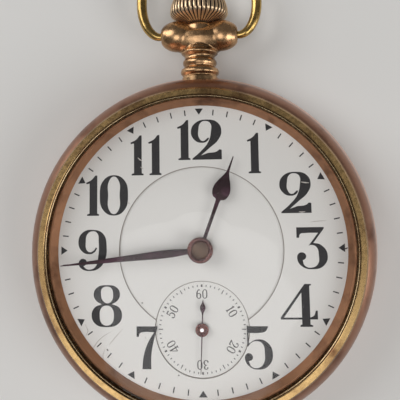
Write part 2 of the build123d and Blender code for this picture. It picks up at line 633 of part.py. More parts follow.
def screw(x, y, z_head, length, r=SCREW_R, head=SCREW_HEAD_R):
    """Screw driven from the back of the movement."""
    return turned_at(x, y, [(0, z_head), (head, z_head), (head, z_head + SCREW_HEAD_T), (r, z_head + SCREW_HEAD_T),
                            (r, z_head + length), (0, z_head + length)])


def screw_hole(x, y, z_head, length, r=SCREW_R, head=SCREW_HEAD_R):
    return fuse([disc(x, y, head + SLIP, z_head - 1, z_head + SCREW_HEAD_T),
                 disc(x, y, r + SLIP, z_head - 1, z_head + length + AIR)])


def jewel(x, y, z0):
    return ring(x, y, JEWEL_R, PIVOT_R + RUN, z0, z0 + JEWEL_T)


def jewel_hole(x, y, z0, z1):
    """Through hole with a seat for a pressed jewel between z0 and z1."""
    return disc(x, y, JEWEL_R + SLIP / 2, z0, z1)


BRIDGE_SCREW_L = BRIDGE_T + TRAIN_H + 1.1
z_screw_head = z_bridge - 0.05


def make_pillar_plate():
    body = disc(0, 0, PLATE_R, z_plate, z_seat)
    motion = [disc(0, 0, tip_r(HOUR_TEETH, MOTION_M) + 0.5, z_motion, z_seat + 1),
              disc(*MINUTE_XY, tip_r(MINUTE_TEETH, MOTION_M) + 0.4, z_motion, z_seat + 1),
              disc(*SETTING_XY, tip_r(SETTING_TEETH, MOTION_M) + 0.4, z_motion, z_seat + 1)]
    lever_room = plate([(-2.0, clutch_y0 - 1.4), (LEVER_PIVOT_XY[0] + 1.7, LEVER_PIVOT_XY[1] - 1.9),
                        (LEVER_PIVOT_XY[0] + 1.7, LEVER_PIVOT_XY[1] + 1.7), (-2.0, clutch_y1 + 0.7)],
                       z_seat - 0.95, z_seat + 1)
    slot_r = winder_tip + 0.12
    slot = block(-slot_r, slot_r, ARBOR_Y0 + INNER_PIVOT_L + 0.1, bearing_y0 - 0.45, z_plate - 1, z_seat + 1)
    inner_block = block(-1.7, 1.7, ARBOR_Y0, ARBOR_Y0 + INNER_PIVOT_L, z_stem + SLIP, z_plate + 0.4)
    outer_block = block(-2.7, 2.7, bearing_y0, ARBOR_Y1, z_stem + SLIP, z_plate + 0.4)
    rim = disc(0, 0, LEDGE_R - RUN, z_train, z_plate + 0.4)
    lower = fuse([inner_block, outer_block & rim])
    body = fuse([body, lower])
    bores = [rod_y(INNER_PIVOT_R + RUN, ARBOR_Y0 - 1, ARBOR_Y0 + INNER_PIVOT_L + 1),
             rod_y(WINDER_BEARING_R + RUN, bearing_y0 - 1, PLATE_R + 1)]
    feet = [disc(*xy, DIAL_FOOT_R + SLIP, z_seat - 1.6, z_seat + 1) for xy in DIAL_FEET]
    pivots = [disc(*xy, JEWEL_R + SLIP / 2, z_plate - 1, z_seat + 1)
              for xy in (THIRD_XY, ESCAPE_XY, PALLET_XY, BALANCE_XY)]
    pivots += [disc(0, 0, ARBOR_R + 0.25 + RUN, z_plate - 1, z_seat),
               disc(*FOURTH_XY, ARBOR_R + 0.1, z_plate - 1, z_seat + 1),
               disc(*BARREL_XY, 0.95 + RUN, z_plate - 1, z_seat + 1)]
    screws = [disc(x, y, SCREW_R + SLIP, z_plate - 1, z_plate + 1.1 + AIR)
              for x, y in BARREL_FEET + TRAIN_FEET + CASE_SCREWS + (COCK_FOOT_XY, PALLET_FOOT_XY)]
    return body.cut(*(motion + [lever_room, slot] + bores + feet + pivots + screws))


def make_motion_studs():
    """Studs that carry the minute wheel, the setting wheel and the clutch lever."""
    studs = [disc(*xy, 0.45, z_motion, z_seat - 0.25) for xy in (MINUTE_XY, SETTING_XY)]
    lever_stud = disc(*LEVER_PIVOT_XY, 0.45, z_seat - 0.95, z_seat - 0.3)
    return group(studs + [lever_stud])


def half_disc(above):
    y0, y1 = (BRIDGE_SPLIT_Y + AIR / 2, PLATE_R) if above else (-PLATE_R, BRIDGE_SPLIT_Y - AIR / 2)
    return disc(0, 0, BRIDGE_R, z_bridge, z_train) & block(-PLATE_R, PLATE_R, y0, y1, z_bridge - 1, z_train + 1)


def bridge_feet(places):
    rim = disc(0, 0, LEDGE_R - RUN, z_train - 1, z_plate + 1)
    return [disc(x, y, FOOT_R, z_train - 0.2, z_plate) & rim for x, y in places]


def make_barrel_bridge():
    keep_r = LEDGE_R - 3 * RUN
    body = fuse([half_disc(True)] + bridge_feet(BARREL_FEET))
    blocks = fuse([block(-1.7, 1.7, ARBOR_Y0, ARBOR_Y0 + INNER_PIVOT_L, z_train - 0.2, z_stem - SLIP),
                   block(-2.7, 2.7, bearing_y0, ARBOR_Y1, z_train - 0.2, z_stem - SLIP)]) \
        & disc(0, 0, keep_r, z_bridge, z_plate)
    body = fuse([body, blocks])
    slot_r = winder_tip + 0.12
    cuts = [disc(*BALANCE_XY, BALANCE_CLEAR_R, z_bridge - 1, z_train + 1),
            disc(*COCK_FOOT_XY, COCK_FOOT_R + 0.4, z_bridge - 1, z_train + 1),
            block(COCK_FOOT_XY[0] - 1, PLATE_R, BRIDGE_SPLIT_Y - 1, COCK_FOOT_XY[1] + COCK_FOOT_R + 0.4,
                  z_bridge - 1, z_train + 1),
            block(-slot_r, slot_r, ARBOR_Y0 + INNER_PIVOT_L + 0.1, bearing_y0 - 0.45, z_bridge - 1, z_train + 1),
            rod_y(INNER_PIVOT_R + RUN, ARBOR_Y0 - 1, ARBOR_Y0 + INNER_PIVOT_L + 1),
            rod_y(WINDER_BEARING_R + RUN, bearing_y0 - 1, PLATE_R + 1),
            disc(*BARREL_XY, 0.95 + RUN, z_bridge - 1, z_train + 1),
            jewel_hole(*CENTRE_XY, z_bridge - 1, z_train + 1),
            disc(*CROWN_WHEEL_XY, SCREW_R + SLIP, z_bridge - 1, z_train + 1),
            disc(*CLICK_PIVOT_XY, 0.5 + SLIP, z_bridge - 1, z_train + 1)]
    cuts += [screw_hole(x, y, z_screw_head, BRIDGE_SCREW_L) for x, y in BARREL_FEET]
    cuts += [disc(x, y, CASE_SCREW_HEAD_R + AIR, z_bridge - 1, z_train + 1) for x, y in CASE_SCREWS]
    cuts += [disc(*SPRING_FOOT_XY, SPRING_SCREW_R, z_bridge - 1, z_train + 1)]
    return body.cut(*cuts)


def make_train_bridge():
    body = half_disc(False) & block(-PLATE_R, ESCAPE_XY[0] + 1.6, -PLATE_R, PLATE_R, z_bridge - 1, z_train + 1)
    body = fuse([body] + bridge_feet(TRAIN_FEET))
    cuts = [disc(*BALANCE_XY, BALANCE_CLEAR_R, z_bridge - 1, z_train + 1)]
    cuts += [jewel_hole(*xy, z_bridge - 1, z_train + 1) for xy in TRAIN_AXES.values()]
    cuts += [screw_hole(x, y, z_screw_head, BRIDGE_SCREW_L) for x, y in TRAIN_FEET]
    return body.cut(*cuts)


def winding_screws():
    """Screws of the crown wheel's core, the click and the click spring."""
    core = screw(*CROWN_WHEEL_XY, z_wind - 0.35 - SCREW_HEAD_T, 1.9)
    click = fuse([disc(*CLICK_PIVOT_XY, 0.5, z_wind - 0.1, z_train - 0.1),
                  disc(*CLICK_PIVOT_XY, 0.95, z_wind - 0.35, z_wind - RUN)])
    spring = fuse([disc(*SPRING_FOOT_XY, SPRING_SCREW_R - SLIP, z_wind - 0.1, z_train - 0.1),
                   disc(*SPRING_FOOT_XY, 0.65, z_wind - 0.25, z_wind + 0.1)])
    return [core, click, spring]


def make_ratchet_screw():
    return fuse([disc(*BARREL_XY, 1.5, z_wind - 0.45, z_wind - SLIP),
                 disc(*BARREL_XY, 0.35, z_wind - 0.45, z_wind + 1.2)])


def case_screws():
    """Two screws whose half heads catch the seat inside the band."""
    pieces = []
    for x, y in CASE_SCREWS:
        z0 = z_plate - LEDGE_T - SCREW_HEAD_T
        pieces.append(screw(x, y, z0 - SLIP, LEDGE_T + SCREW_HEAD_T + 0.9, head=CASE_SCREW_HEAD_R))
    return pieces


def make_movement_screws():
    bridges = [screw(x, y, z_screw_head, BRIDGE_SCREW_L) for x, y in BARREL_FEET + TRAIN_FEET]
    return group(bridges + winding_screws() + case_screws() + [cock_screw(), pallet_bridge_screw()])


def make_jewels():
    bridges = [jewel(*xy, z_bridge + 0.35) for xy in (CENTRE_XY, THIRD_XY, FOURTH_XY, ESCAPE_XY)]
    lower = [jewel(*xy, z_plate + 0.4) for xy in (THIRD_XY, ESCAPE_XY, PALLET_XY, BALANCE_XY)]
    return group(bridges + lower + [jewel(*BALANCE_XY, z_cock - 0.4)])


# ---------------------------------------------------------------- train
def arbor(x, y, z_low, z_high, r=ARBOR_R):
    """Steel arbor between two shoulders, with a pivot at each end."""
    return fuse([disc(x, y, r, z_low, z_high), disc(x, y, PIVOT_R, z_low - 0.5, z_high + 0.5)])


z_arbor0 = z_train - 0.05
z_arbor1 = z_plate + 0.3


def train_wheel(xy, teeth, module, phase, z0, arms=5, turn=0.0):
    wheel = gear(teeth, module, phase, WHEEL_TOOTH, z0, z0 + WHEEL_T, *xy)
    r = pitch_r(teeth, module)
    wheel -= spokes(*xy, r - 1.2 * module - 0.45, 1.25, arms, 0.55, z0, z0 + WHEEL_T, turn)
    return wheel - disc(*xy, ARBOR_R + SLIP, z0 - 1, z0 + WHEEL_T + 1)


def make_barrel():
    x, y = BARREL_XY
    z1 = z_barrel + BARREL_H
    r = pitch_r(BARREL_TEETH, BARREL_M) - 1.2 * BARREL_M - 0.35
    shell = fuse([disc(x, y, r, z_barrel, z1),
                  gear(BARREL_TEETH, BARREL_M, barrel_phase, WHEEL_TOOTH, z1 - BARREL_FLANGE_T, z1, x, y)])
    inside = disc(x, y, r - 0.35, z_barrel - 1, z1 - 0.25)
    return shell - inside - disc(x, y, 0.95 + RUN, z_barrel - 1, z1 + 1)


def make_barrel_cover():
    x, y = BARREL_XY
    r = pitch_r(BARREL_TEETH, BARREL_M) - 1.2 * BARREL_M - 0.35
    return ring(x, y, r - 0.35 - SLIP, 0.95 + RUN, z_barrel, z_barrel + 0.2)


def make_barrel_arbor():
    x, y = BARREL_XY
    z1 = z_barrel + BARREL_H
    square = block(x - 0.95, x + 0.95, y - 0.95, y + 0.95, z_wind, z_bridge)
    parts = [disc(x, y, 0.95, z_bridge, z_plate + 1.0), square & disc(x, y, 1.3, z_wind, z_bridge),
             disc(x, y, 2.0, z_barrel + 0.24, z1 - 0.29)]
    return fuse(parts) - disc(x, y, 0.35 + SLIP, z_wind - 1, z_wind + 1.3)


def spiral_band(x, y, r0, r1, turns, width, z0, z1, steps, start=0.0):
    """Flat spiral strip, the same width all the way."""
    inner, outer = [], []
    for i in range(turns * steps + 1):
        t = i / (turns * steps)
        a = start + 360 * turns * t
        r = r0 + (r1 - r0) * t
        outer.append(polar(r + width / 2, a, x, y))
        inner.append(polar(r - width / 2, a, x, y))
    face = make_face(Polyline(*(outer + inner[::-1]), close=True))
    return extrude(Pos(0, 0, z0) * face, z1 - z0)


def make_mainspring():
    x, y = BARREL_XY
    r = pitch_r(BARREL_TEETH, BARREL_M) - 1.2 * BARREL_M - 0.7
    return spiral_band(x, y, 2.0 + 0.18, r - 0.2, 7, 0.2, z_barrel + 0.27, z_barrel + BARREL_H - 0.32, 14)


def make_centre_wheel():
    z0 = z_centre_wheel
    wheel = gear(CENTRE_TEETH, CENTRE_M, centre_phase, WHEEL_TOOTH, z0, z0 + WHEEL_T)
    wheel -= spokes(0, 0, pitch_r(CENTRE_TEETH, CENTRE_M) - 1.2 * CENTRE_M - 0.5, 1.6, 5, 0.6, z0, z0 + WHEEL_T)
    return wheel - disc(0, 0, ARBOR_R + 0.2 + SLIP, z0 - 1, z0 + 1)


def make_centre_arbor():
    """Centre arbor with its pinion; it runs up inside the cannon pinion."""
    z1 = z_barrel + BARREL_H
    body = [disc(0, 0, ARBOR_R + 0.2, z_train + 0.05, z1 + 0.08),
            disc(0, 0, PIVOT_R, z_bridge + 0.3, z_train + 0.1),
            disc(0, 0, ARBOR_R + 0.25, z1, z_motion),
            disc(0, 0, ARBOR_R, z_motion - 0.1, HUB_TOP - 0.35),
            gear(CENTRE_PINION, BARREL_M, centre_pinion_phase, LEAF, z1 - BARREL_FLANGE_T - 0.1, z1 + 0.08)]
    return fuse(body)


def make_third_wheel():
    return train_wheel(THIRD_XY, THIRD_TEETH, THIRD_M, third_phase, z_third_wheel, turn=20)


def make_third_pinion():
    leaves = gear(THIRD_PINION, CENTRE_M, third_pinion_phase, LEAF, z_centre_wheel - 0.1,
                  z_centre_wheel + WHEEL_T + 0.1, *THIRD_XY)
    return fuse([arbor(*THIRD_XY, z_arbor0, z_arbor1), leaves])


def make_fourth_wheel():
    return train_wheel(FOURTH_XY, FOURTH_TEETH, FOURTH_M, 0.0, z_fourth_wheel, turn=50)


def make_fourth_pinion():
    """Fourth arbor with its pinion; its long upper pivot carries the seconds hand."""
    x, y = FOURTH_XY
    leaves = gear(FOURTH_PINION, THIRD_M, fourth_pinion_phase, LEAF, z_third_wheel - 0.1,
                  z_third_wheel + WHEEL_T + 0.1, x, y)
    return fuse([disc(x, y, ARBOR_R, z_arbor0, z_plate + 0.3), disc(x, y, PIVOT_R, z_arbor0 - 0.5, z_arbor0 + 0.1),
                 disc(x, y, 0.25, z_plate, SECONDS_HAND_Z + SECONDS_HAND_T + 0.1), leaves])


def make_escape_wheel():
    """Club-toothed wheel of fifteen teeth."""
    x, y = ESCAPE_XY
    z0 = z_escape
    points = []
    for i in range(ESCAPE_TEETH):
        a = escape_phase + i * 360 / ESCAPE_TEETH
        points += [polar(ESCAPE_R - 0.75, a - 11, x, y), polar(ESCAPE_R - 0.75, a - 3.5, x, y),
                   polar(ESCAPE_R - 0.12, a - 2.0, x, y), polar(ESCAPE_R, a + 2.2, x, y),
                   polar(ESCAPE_R - 0.75, a + 2.0, x, y)]
    wheel = extrude(Pos(0, 0, z0) * make_face(Polyline(*points, close=True)), WHEEL_T)
    wheel -= spokes(x, y, ESCAPE_R - 1.15, 1.0, 4, 0.4, z0, z0 + WHEEL_T, turn=15)
    return wheel - disc(x, y, ARBOR_R + SLIP, z0 - 1, z0 + 1)


def make_escape_pinion():
    leaves = gear(ESCAPE_PINION, FOURTH_M, 0.0, LEAF, z_fourth_wheel - 0.12, z_fourth_wheel + WHEEL_T + 0.12,
                  *ESCAPE_XY)
    return fuse([arbor(*ESCAPE_XY, z_arbor0, z_arbor1), leaves])


# ---------------------------------------------------------------- motion work, dial and hands
z_hour_wheel = z_motion + 0.65
CANNON_PIPE_R = 0.7
HOUR_PIPE_R = 1.15


def make_cannon_pinion():
    leaves = gear(CANNON_TEETH, MOTION_M, cannon_phase, LEAF, z_motion + 0.05, z_motion + 0.5)
    pipe = disc(0, 0, CANNON_PIPE_R, z_motion + 0.4, MINUTE_HAND_Z + MINUTE_HAND_T)
    return fuse([leaves, pipe]) - disc(0, 0, ARBOR_R + SLIP, z_motion - 1, HUB_TOP + 1)


def make_minute_wheel():
    z0 = z_motion + 0.1
    leaves = gear(MINUTE_PINION, MOTION_M, minute_pinion_phase, LEAF, z0 + WHEEL_T - 0.02, z_seat - 0.3, *MINUTE_XY)
    wheel = gear(MINUTE_TEETH, MOTION_M, minute_phase, WHEEL_TOOTH, z0, z0 + WHEEL_T, *MINUTE_XY)
    return fuse([wheel, leaves]) - disc(*MINUTE_XY, 0.45 + RUN, z0 - 1, z_seat + 1)


def make_setting_wheel():
    z0 = z_motion + 0.1
    wheel = gear(SETTING_TEETH, MOTION_M, setting_phase, WHEEL_TOOTH, z0, z0 + WHEEL_T, *SETTING_XY)
    return wheel - disc(*SETTING_XY, 0.45 + RUN, z0 - 1, z0 + 1)


def make_hour_wheel():
    wheel = gear(HOUR_TEETH, MOTION_M, hour_phase, WHEEL_TOOTH, z_hour_wheel, z_hour_wheel + WHEEL_T)
    pipe = disc(0, 0, HOUR_PIPE_R, z_hour_wheel, HOUR_HAND_Z + HOUR_HAND_T)
    return fuse([wheel, pipe]) - disc(0, 0, CANNON_PIPE_R + RUN, z_hour_wheel - 1, HUB_TOP)


def seconds_hole(z0, z1):
    return disc(*FOURTH_XY, SECONDS_DIAL_R + SLIP, z0, z1)


def make_dial_ring():
    """Enamel hour ring with the three copper feet brazed to its back."""
    body = ring(0, 0, DIAL_R, CENTRE_DIAL_R + SLIP, z_seat, z_dial) - seconds_hole(z_seat - 1, z_dial + 1)
    feet = [disc(*xy, DIAL_FOOT_R, z_seat - 1.5, z_seat + 0.1) for xy in DIAL_FEET]
    return fuse([body] + feet)


def make_dial_centre():
    centre = ring(0, 0, CENTRE_DIAL_R, HOUR_PIPE_R + 0.25, z_seat, z_dial - CENTRE_SINK)
    return centre - seconds_hole(z_seat - 1, z_dial + 1)


def make_seconds_dial():
    return ring(*FOURTH_XY, SECONDS_DIAL_R, 0.4, z_seat, z_dial - SECONDS_SINK)


def turn_hand(shape, angle, xy=(0.0, 0.0)):
    return Pos(xy[0], xy[1], 0) * Rot(0, 0, -angle) * shape


def make_hour_hand():
    """Spade hand: a thin stem, a drop shaped spade and a needle."""
    z0, z1 = HOUR_HAND_Z, HOUR_HAND_Z + HOUR_HAND_T
    spade0, wide, spade1 = 0.535 * HOUR_HAND_L, 0.635 * HOUR_HAND_L, 0.825 * HOUR_HAND_L
    stem, half, neck, tip = 0.27, 1.25, 0.2, 0.09
    blade = plate([(-stem, 0), (-stem, spade0), ((-half * 0.83, spade0 + 0.45), (-half, wide)),
                   ((-half * 0.62, (wide + spade1) / 2 + 0.25), (-neck, spade1)), (-tip, HOUR_HAND_L),
                   (tip, HOUR_HAND_L), (neck, spade1), ((half * 0.62, (wide + spade1) / 2 + 0.25), (half, wide)),
                   ((half * 0.83, spade0 + 0.45), (stem, spade0)), (stem, 0)], z0, z1)
    boss = disc(0, 0, HUB_R - 0.05, z0, z1 + 0.1)
    return turn_hand(fuse([blade, boss]) - disc(0, 0, HOUR_PIPE_R + SLIP, z0 - 1, z1 + 1), HOUR_HAND_ANGLE)


def make_minute_hand():
    """Long leaf hand that swells near its hub and runs out to a point."""
    z0, z1 = MINUTE_HAND_Z, MINUTE_HAND_Z + MINUTE_HAND_T
    root, wide, tip = 0.3, 0.52, 0.06
    wide_y, needle_y = 0.27 * MINUTE_HAND_L, 0.9 * MINUTE_HAND_L
    blade = plate([(-root, 0), (-root, HUB_R), (-wide, wide_y), (-0.3, 0.7 * MINUTE_HAND_L), (-0.14, needle_y),
                   (-tip, MINUTE_HAND_L), (tip, MINUTE_HAND_L), (0.14, needle_y), (0.3, 0.7 * MINUTE_HAND_L),
                   (wide, wide_y), (root, HUB_R), (root, 0)], z0, z1)
    hub = turned([(0, z0), (HUB_R, z0), (HUB_R, HUB_TOP - 0.25), (HUB_R - 0.15, HUB_TOP - 0.1),
                  (HUB_R - 0.35, HUB_TOP - 0.1), (HUB_R - 0.5, HUB_TOP - 0.22),
                  cap(HUB_R - 0.5, HUB_TOP - 0.22, HUB_TOP)])
    cup = fuse([disc(0, 0, CANNON_PIPE_R + SLIP, z0 - 1, z1 + SLIP),
                disc(0, 0, ARBOR_R + SLIP, z0 - 1, HUB_TOP - 0.33)])
    return turn_hand(fuse([blade, hub]) - cup, MINUTE_HAND_ANGLE)


def make_seconds_hand():
    """Needle with a diamond on its counterweight."""
    z0, z1 = SECONDS_HAND_Z, SECONDS_HAND_Z + SECONDS_HAND_T
    tail, half, diamond = SECONDS_TAIL_L, 0.42, 0.72 * SECONDS_TAIL_L
    blade = plate([(-0.1, 0), (-0.06, SECONDS_HAND_L), (0.06, SECONDS_HAND_L), (0.1, 0), (0.1, -diamond + 0.9),
                   (half, -diamond), (0.03, -tail), (-0.03, -tail), (-half, -diamond), (-0.1, -diamond + 0.9)], z0, z1)
    boss = disc(0, 0, 0.9, z0, z1 + 0.12)
    bore = disc(0, 0, 0.25 + SLIP, z0 - 1, z1 + 1)
    return turn_hand(fuse([blade, boss]) - bore, SECONDS_HAND_ANGLE, FOURTH_XY)


# ---------------------------------------------------------------- escapement
stone_reach = ESCAPE_R + 0.03
stone_angles = (ESCAPE_TO_BALANCE + 30, ESCAPE_TO_BALANCE - 30)
escape_phase = stone_angles[0] - 8.0
STONE_L, STONE_W = 0.95, 0.42


def at_rest(shape):
    """Turns the fork from its middle to its rest against one bank."""
    x, y = PALLET_XY
    return Pos(x, y, 0) * Rot(0, 0, -FORK_ROCK) * Pos(-x, -y, 0) * shape


def stone(angle):
    x, y = polar(stone_reach, angle, *ESCAPE_XY)
    return Pos(x, y, z_escape) * Rot(0, 0, angle) * Box(STONE_L, STONE_W, WHEEL_T, align=(LOW, CENTRE, LOW))


def make_pallet_stones():
    return group([at_rest(stone(a)) for a in stone_angles])


def make_pallet_fork():
    """Pallet frame and lever, with a slotted fork and horns at its end."""
    px, py = PALLET_XY
    z0, z1 = z_escape, z_escape + WHEEL_T
    to_balance = hypot(BALANCE_XY[0] - px, BALANCE_XY[1] - py)
    reach = to_balance - ROLLER_JEWEL_AT - ROLLER_JEWEL_R - 0.12
    arms = [outline([(-0.1, 0), (0.42, 0), (0.42, side * 2.2), (-0.1, side * 2.2)]) for side in (-1, 1)]
    pads = [Pos(-escape_pallet, 0) * Rot(0, 0, 30 * side) * Pos(stone_reach + 0.72, 0) * Rectangle(0.86, 1.0)
            for side in (-1, 1)]
    lever = outline([(0, -0.28), (reach - 0.9, -0.17), (reach - 0.55, -0.5), (reach, -0.62), (reach, -0.2),
                     (reach - 0.35, -0.2), (reach - 0.35, 0.2), (reach, 0.2), (reach, 0.62), (reach - 0.55, 0.5),
                     (reach - 0.9, 0.17), (0, 0.28)])
    flat = fuse([extrude(face, z1 - z0) for face in arms + pads + [lever]] + [disc(0, 0, 0.7, 0, z1 - z0)])
    placed = Pos(px, py, z0) * Rot(0, 0, ESCAPE_TO_BALANCE) * flat
    return at_rest(placed.cut(*[stone_slot(a) for a in stone_angles]) - disc(px, py, 0.3 + SLIP, z0 - 1, z1 + 1))


def stone_slot(angle):
    x, y = polar(stone_reach - AIR, angle, *ESCAPE_XY)
    wide = STONE_W + 2 * SLIP
    return Pos(x, y, z_escape - 1) * Rot(0, 0, angle) * Box(STONE_L + AIR + SLIP, wide, WHEEL_T + 2,
                                                            align=(LOW, CENTRE, LOW))


def make_pallet_arbor():
    x, y = PALLET_XY
    return fuse([disc(x, y, 0.3, z_escape - 0.1, z_arbor1), disc(x, y, PIVOT_R, z_roller + 0.1, z_arbor1 + 0.5)])


def make_pallet_bridge():
    fx, fy = PALLET_FOOT_XY
    px, py = PALLET_XY
    z0, z1 = z_roller - 0.05, z_escape - AIR
    angle = degrees(atan2(py - fy, px - fx))
    length = hypot(px - fx, py - fy)
    arm = Pos(fx, fy, z0) * Rot(0, 0, angle) * Box(length, 1.3, z1 - z0, align=(LOW, CENTRE, LOW))
    foot = disc(fx, fy, 1.15, z0, z_plate) & disc(0, 0, LEDGE_R - RUN, z0, z_plate)
    head = disc(px, py, 0.95, z0, z1)
    return fuse([arm, foot, head]) - disc(px, py, PIVOT_R + RUN, z0 - 1, z1 + 1) \
        - disc(fx, fy, SCREW_R + SLIP, z0 - 1, z_plate + 1) - disc(fx, fy, 0.85 + SLIP, z0 - 1, z0 + 0.2)


def pallet_bridge_screw():
    fx, fy = PALLET_FOOT_XY
    z0 = z_roller - 0.05 - 0.1
    return fuse([disc(fx, fy, 0.85, z0, z0 + 0.3), disc(fx, fy, SCREW_R, z0, z_plate + 1.0)])


def make_balance_wheel():
    x, y = BALANCE_XY
    z0, z1 = z_balance, z_balance + BALANCE_T
    rim = ring(x, y, BALANCE_R, BALANCE_R - BALANCE_RIM_W, z0, z1)
    arm = Pos(x, y, z0 + 0.15) * Rot(0, 0, 35) * Box(2 * BALANCE_R - BALANCE_RIM_W, 0.75, 0.3, align=UPRIGHT)
    hub = disc(x, y, 1.0, z0 + 0.15, z0 + 0.45)
    return fuse([rim, arm, hub]) - disc(x, y, 0.45 + SLIP, z0 - 1, z1 + 1)


def make_timing_screws():
    x, y = BALANCE_XY
    z = z_balance + BALANCE_T / 2
    head = Cylinder(TIMING_SCREW_R, TIMING_SCREW_L, align=UPRIGHT)
    return group([Pos(x, y, z) * Rot(0, 0, 10 + i * 360 / TIMING_SCREWS) * Rot(0, 90, 0)
                  * Pos(0, 0, BALANCE_R + SLIP) * head for i in range(TIMING_SCREWS)])


def make_balance_staff():
    x, y = BALANCE_XY
    return fuse([disc(x, y, 0.45, z_cock + 0.05, z_roller + 0.4), disc(x, y, 0.3, z_roller, z_plate + 0.3),
                 disc(x, y, PIVOT_R, z_cock - 0.45, z_plate + 0.8)])


def make_roller():
    """Roller table on the balance staff, with its jewel pin."""
    x, y = BALANCE_XY
    back = ESCAPE_TO_BALANCE + 180
    table = ring(x, y, ROLLER_R, 0.45 + SLIP, z_roller, z_roller + 0.28)
    at = polar(ROLLER_JEWEL_AT, back, x, y)
    pin = disc(*at, ROLLER_JEWEL_R, z_roller, z_escape + WHEEL_T - SLIP)
    return group([table - disc(*at, ROLLER_JEWEL_R + SLIP, z_roller - 1, z_roller + 1), pin])


z_hair = z_balance - 0.3
HAIR_T = 0.22
STUD_DIRECTION = 150


def make_hairspring():
    x, y = BALANCE_XY
    return spiral_band(x, y, 0.95, HAIR_R, HAIR_TURNS, HAIR_W, z_hair, z_hair + HAIR_T, 16, STUD_DIRECTION)


def make_collet():
    return ring(*BALANCE_XY, 0.85, 0.45 + SLIP, z_hair - 0.02, z_hair + HAIR_T + 0.02)


def make_hairspring_stud():
    x, y = polar(HAIR_R + HAIR_W / 2 + 0.32, STUD_DIRECTION, *BALANCE_XY)
    return disc(x, y, 0.3, z_cock + COCK_T - 0.9, z_hair + HAIR_T)


def make_balance_cock():
    bx, by = BALANCE_XY
    fx, fy = COCK_FOOT_XY
    z0, z1 = z_cock - COCK_T, z_cock
    angle = degrees(atan2(by - fy, bx - fx))
    wide, narrow = 2.1, 1.3
    length = hypot(bx - fx, by - fy)
    arm = Pos(fx, fy, z0) * Rot(0, 0, angle) * extrude(
        outline([(0, -wide), (length, -narrow), (length, narrow), (0, wide)]), z1 - z0)
    table = disc(bx, by, 2.1, z0, z1)
    sx, sy = polar(HAIR_R + HAIR_W / 2 + 0.32, STUD_DIRECTION, bx, by)
    ear = Pos(bx, by, z0) * Rot(0, 0, STUD_DIRECTION) * Box(HAIR_R + 0.9, 1.2, z1 - z0, align=(LOW, CENTRE, LOW))
    foot = disc(fx, fy, COCK_FOOT_R, z0, z_plate) & disc(0, 0, LEDGE_R - RUN, z0, z_plate)
    cuts = [disc(bx, by, JEWEL_R + SLIP / 2, z0 - 1, z1 + 1), disc(sx, sy, 0.3 + SLIP, z0 - 1, z1 + 1),
            screw_hole(fx, fy, z0 - 0.05, z_plate - z0 + 1)]
    return fuse([arm, table, ear, foot]).cut(*cuts)


def cock_screw():
    z0 = z_cock - COCK_T - 0.05
    return screw(*COCK_FOOT_XY, z0, z_plate - z0 + 1.0)


REGULATOR_DIRECTION = 62
REGULATOR_L = 6.2


def make_regulator():
    """Regulator: a split ring round the cock's jewel, an index and two curb pins."""
    x, y = BALANCE_XY
    z1 = z_cock - COCK_T - RUN
    z0 = z1 - REGULATOR_T
    index = Pos(x, y, z0) * Rot(0, 0, REGULATOR_DIRECTION) * extrude(
        outline([(1.0, -0.3), (REGULATOR_L - 0.6, -0.14), (REGULATOR_L, 0), (REGULATOR_L - 0.6, 0.14), (1.0, 0.3)]),
        REGULATOR_T)
    tail_direction = REGULATOR_DIRECTION + 180
    tail = Pos(x, y, z0) * Rot(0, 0, tail_direction) * Box(HAIR_R + 0.4, 0.7, REGULATOR_T, align=(LOW, CENTRE, LOW))
    curb = disc(*polar(HAIR_R + HAIR_W / 2 + 0.22, tail_direction, x, y), 0.12, z1 - 0.1, z_hair + HAIR_T)
    return fuse([disc(x, y, 1.5, z0, z1), index, tail, curb]) - disc(x, y, JEWEL_R + 0.15, z0 - 1, z1 + 1)


# ---------------------------------------------------------------- write every piece
NODES = dict(
    case_band=make_case_band, back_cover=make_back_cover, bezel=make_bezel, crystal=make_crystal,
    pendant=make_pendant, pendant_sleeve=make_pendant_sleeve, bow=make_bow, crown=make_crown, stem=make_stem,
    dial_ring=make_dial_ring, dial_centre=make_dial_centre, seconds_dial=make_seconds_dial,
    hour_hand=make_hour_hand, minute_hand=make_minute_hand, seconds_hand=make_seconds_hand,
    pillar_plate=make_pillar_plate, barrel_bridge=make_barrel_bridge, train_bridge=make_train_bridge,
    movement_screws=make_movement_screws, jewels=make_jewels, motion_studs=make_motion_studs,
    winding_arbor=make_winding_arbor, winding_pinion=make_winding_pinion, clutch=make_clutch,
    clutch_lever=make_clutch_lever, crown_wheel=make_crown_wheel, crown_wheel_core=make_crown_wheel_core,
    ratchet_wheel=make_ratchet_wheel, click=make_click, click_spring=make_click_spring,
    ratchet_screw=make_ratchet_screw, barrel=make_barrel, barrel_cover=make_barrel_cover,
    barrel_arbor=make_barrel_arbor, mainspring=make_mainspring, centre_wheel=make_centre_wheel,
    centre_arbor=make_centre_arbor, third_wheel=make_third_wheel, third_pinion=make_third_pinion,
    fourth_wheel=make_fourth_wheel, fourth_pinion=make_fourth_pinion, escape_wheel=make_escape_wheel,
    escape_pinion=make_escape_pinion, cannon_pinion=make_cannon_pinion, minute_wheel=make_minute_wheel,
    setting_wheel=make_setting_wheel, hour_wheel=make_hour_wheel, pallet_fork=make_pallet_fork,
    pallet_stones=make_pallet_stones, pallet_arbor=make_pallet_arbor, pallet_bridge=make_pallet_bridge,
    balance_wheel=make_balance_wheel, timing_screws=make_timing_screws, balance_staff=make_balance_staff,
    roller=make_roller, collet=make_collet, hairspring=make_hairspring, hairspring_stud=make_hairspring_stud,
    balance_cock=make_balance_cock, regulator=make_regulator)


def main():
    os.makedirs("parts", exist_ok=True)
    for name, make in NODES.items():
        export_step(make(), f"parts/{name}.step")


main()
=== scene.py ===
from math import asin, atan2, cos, hypot, pi, radians, sin, sqrt, tau

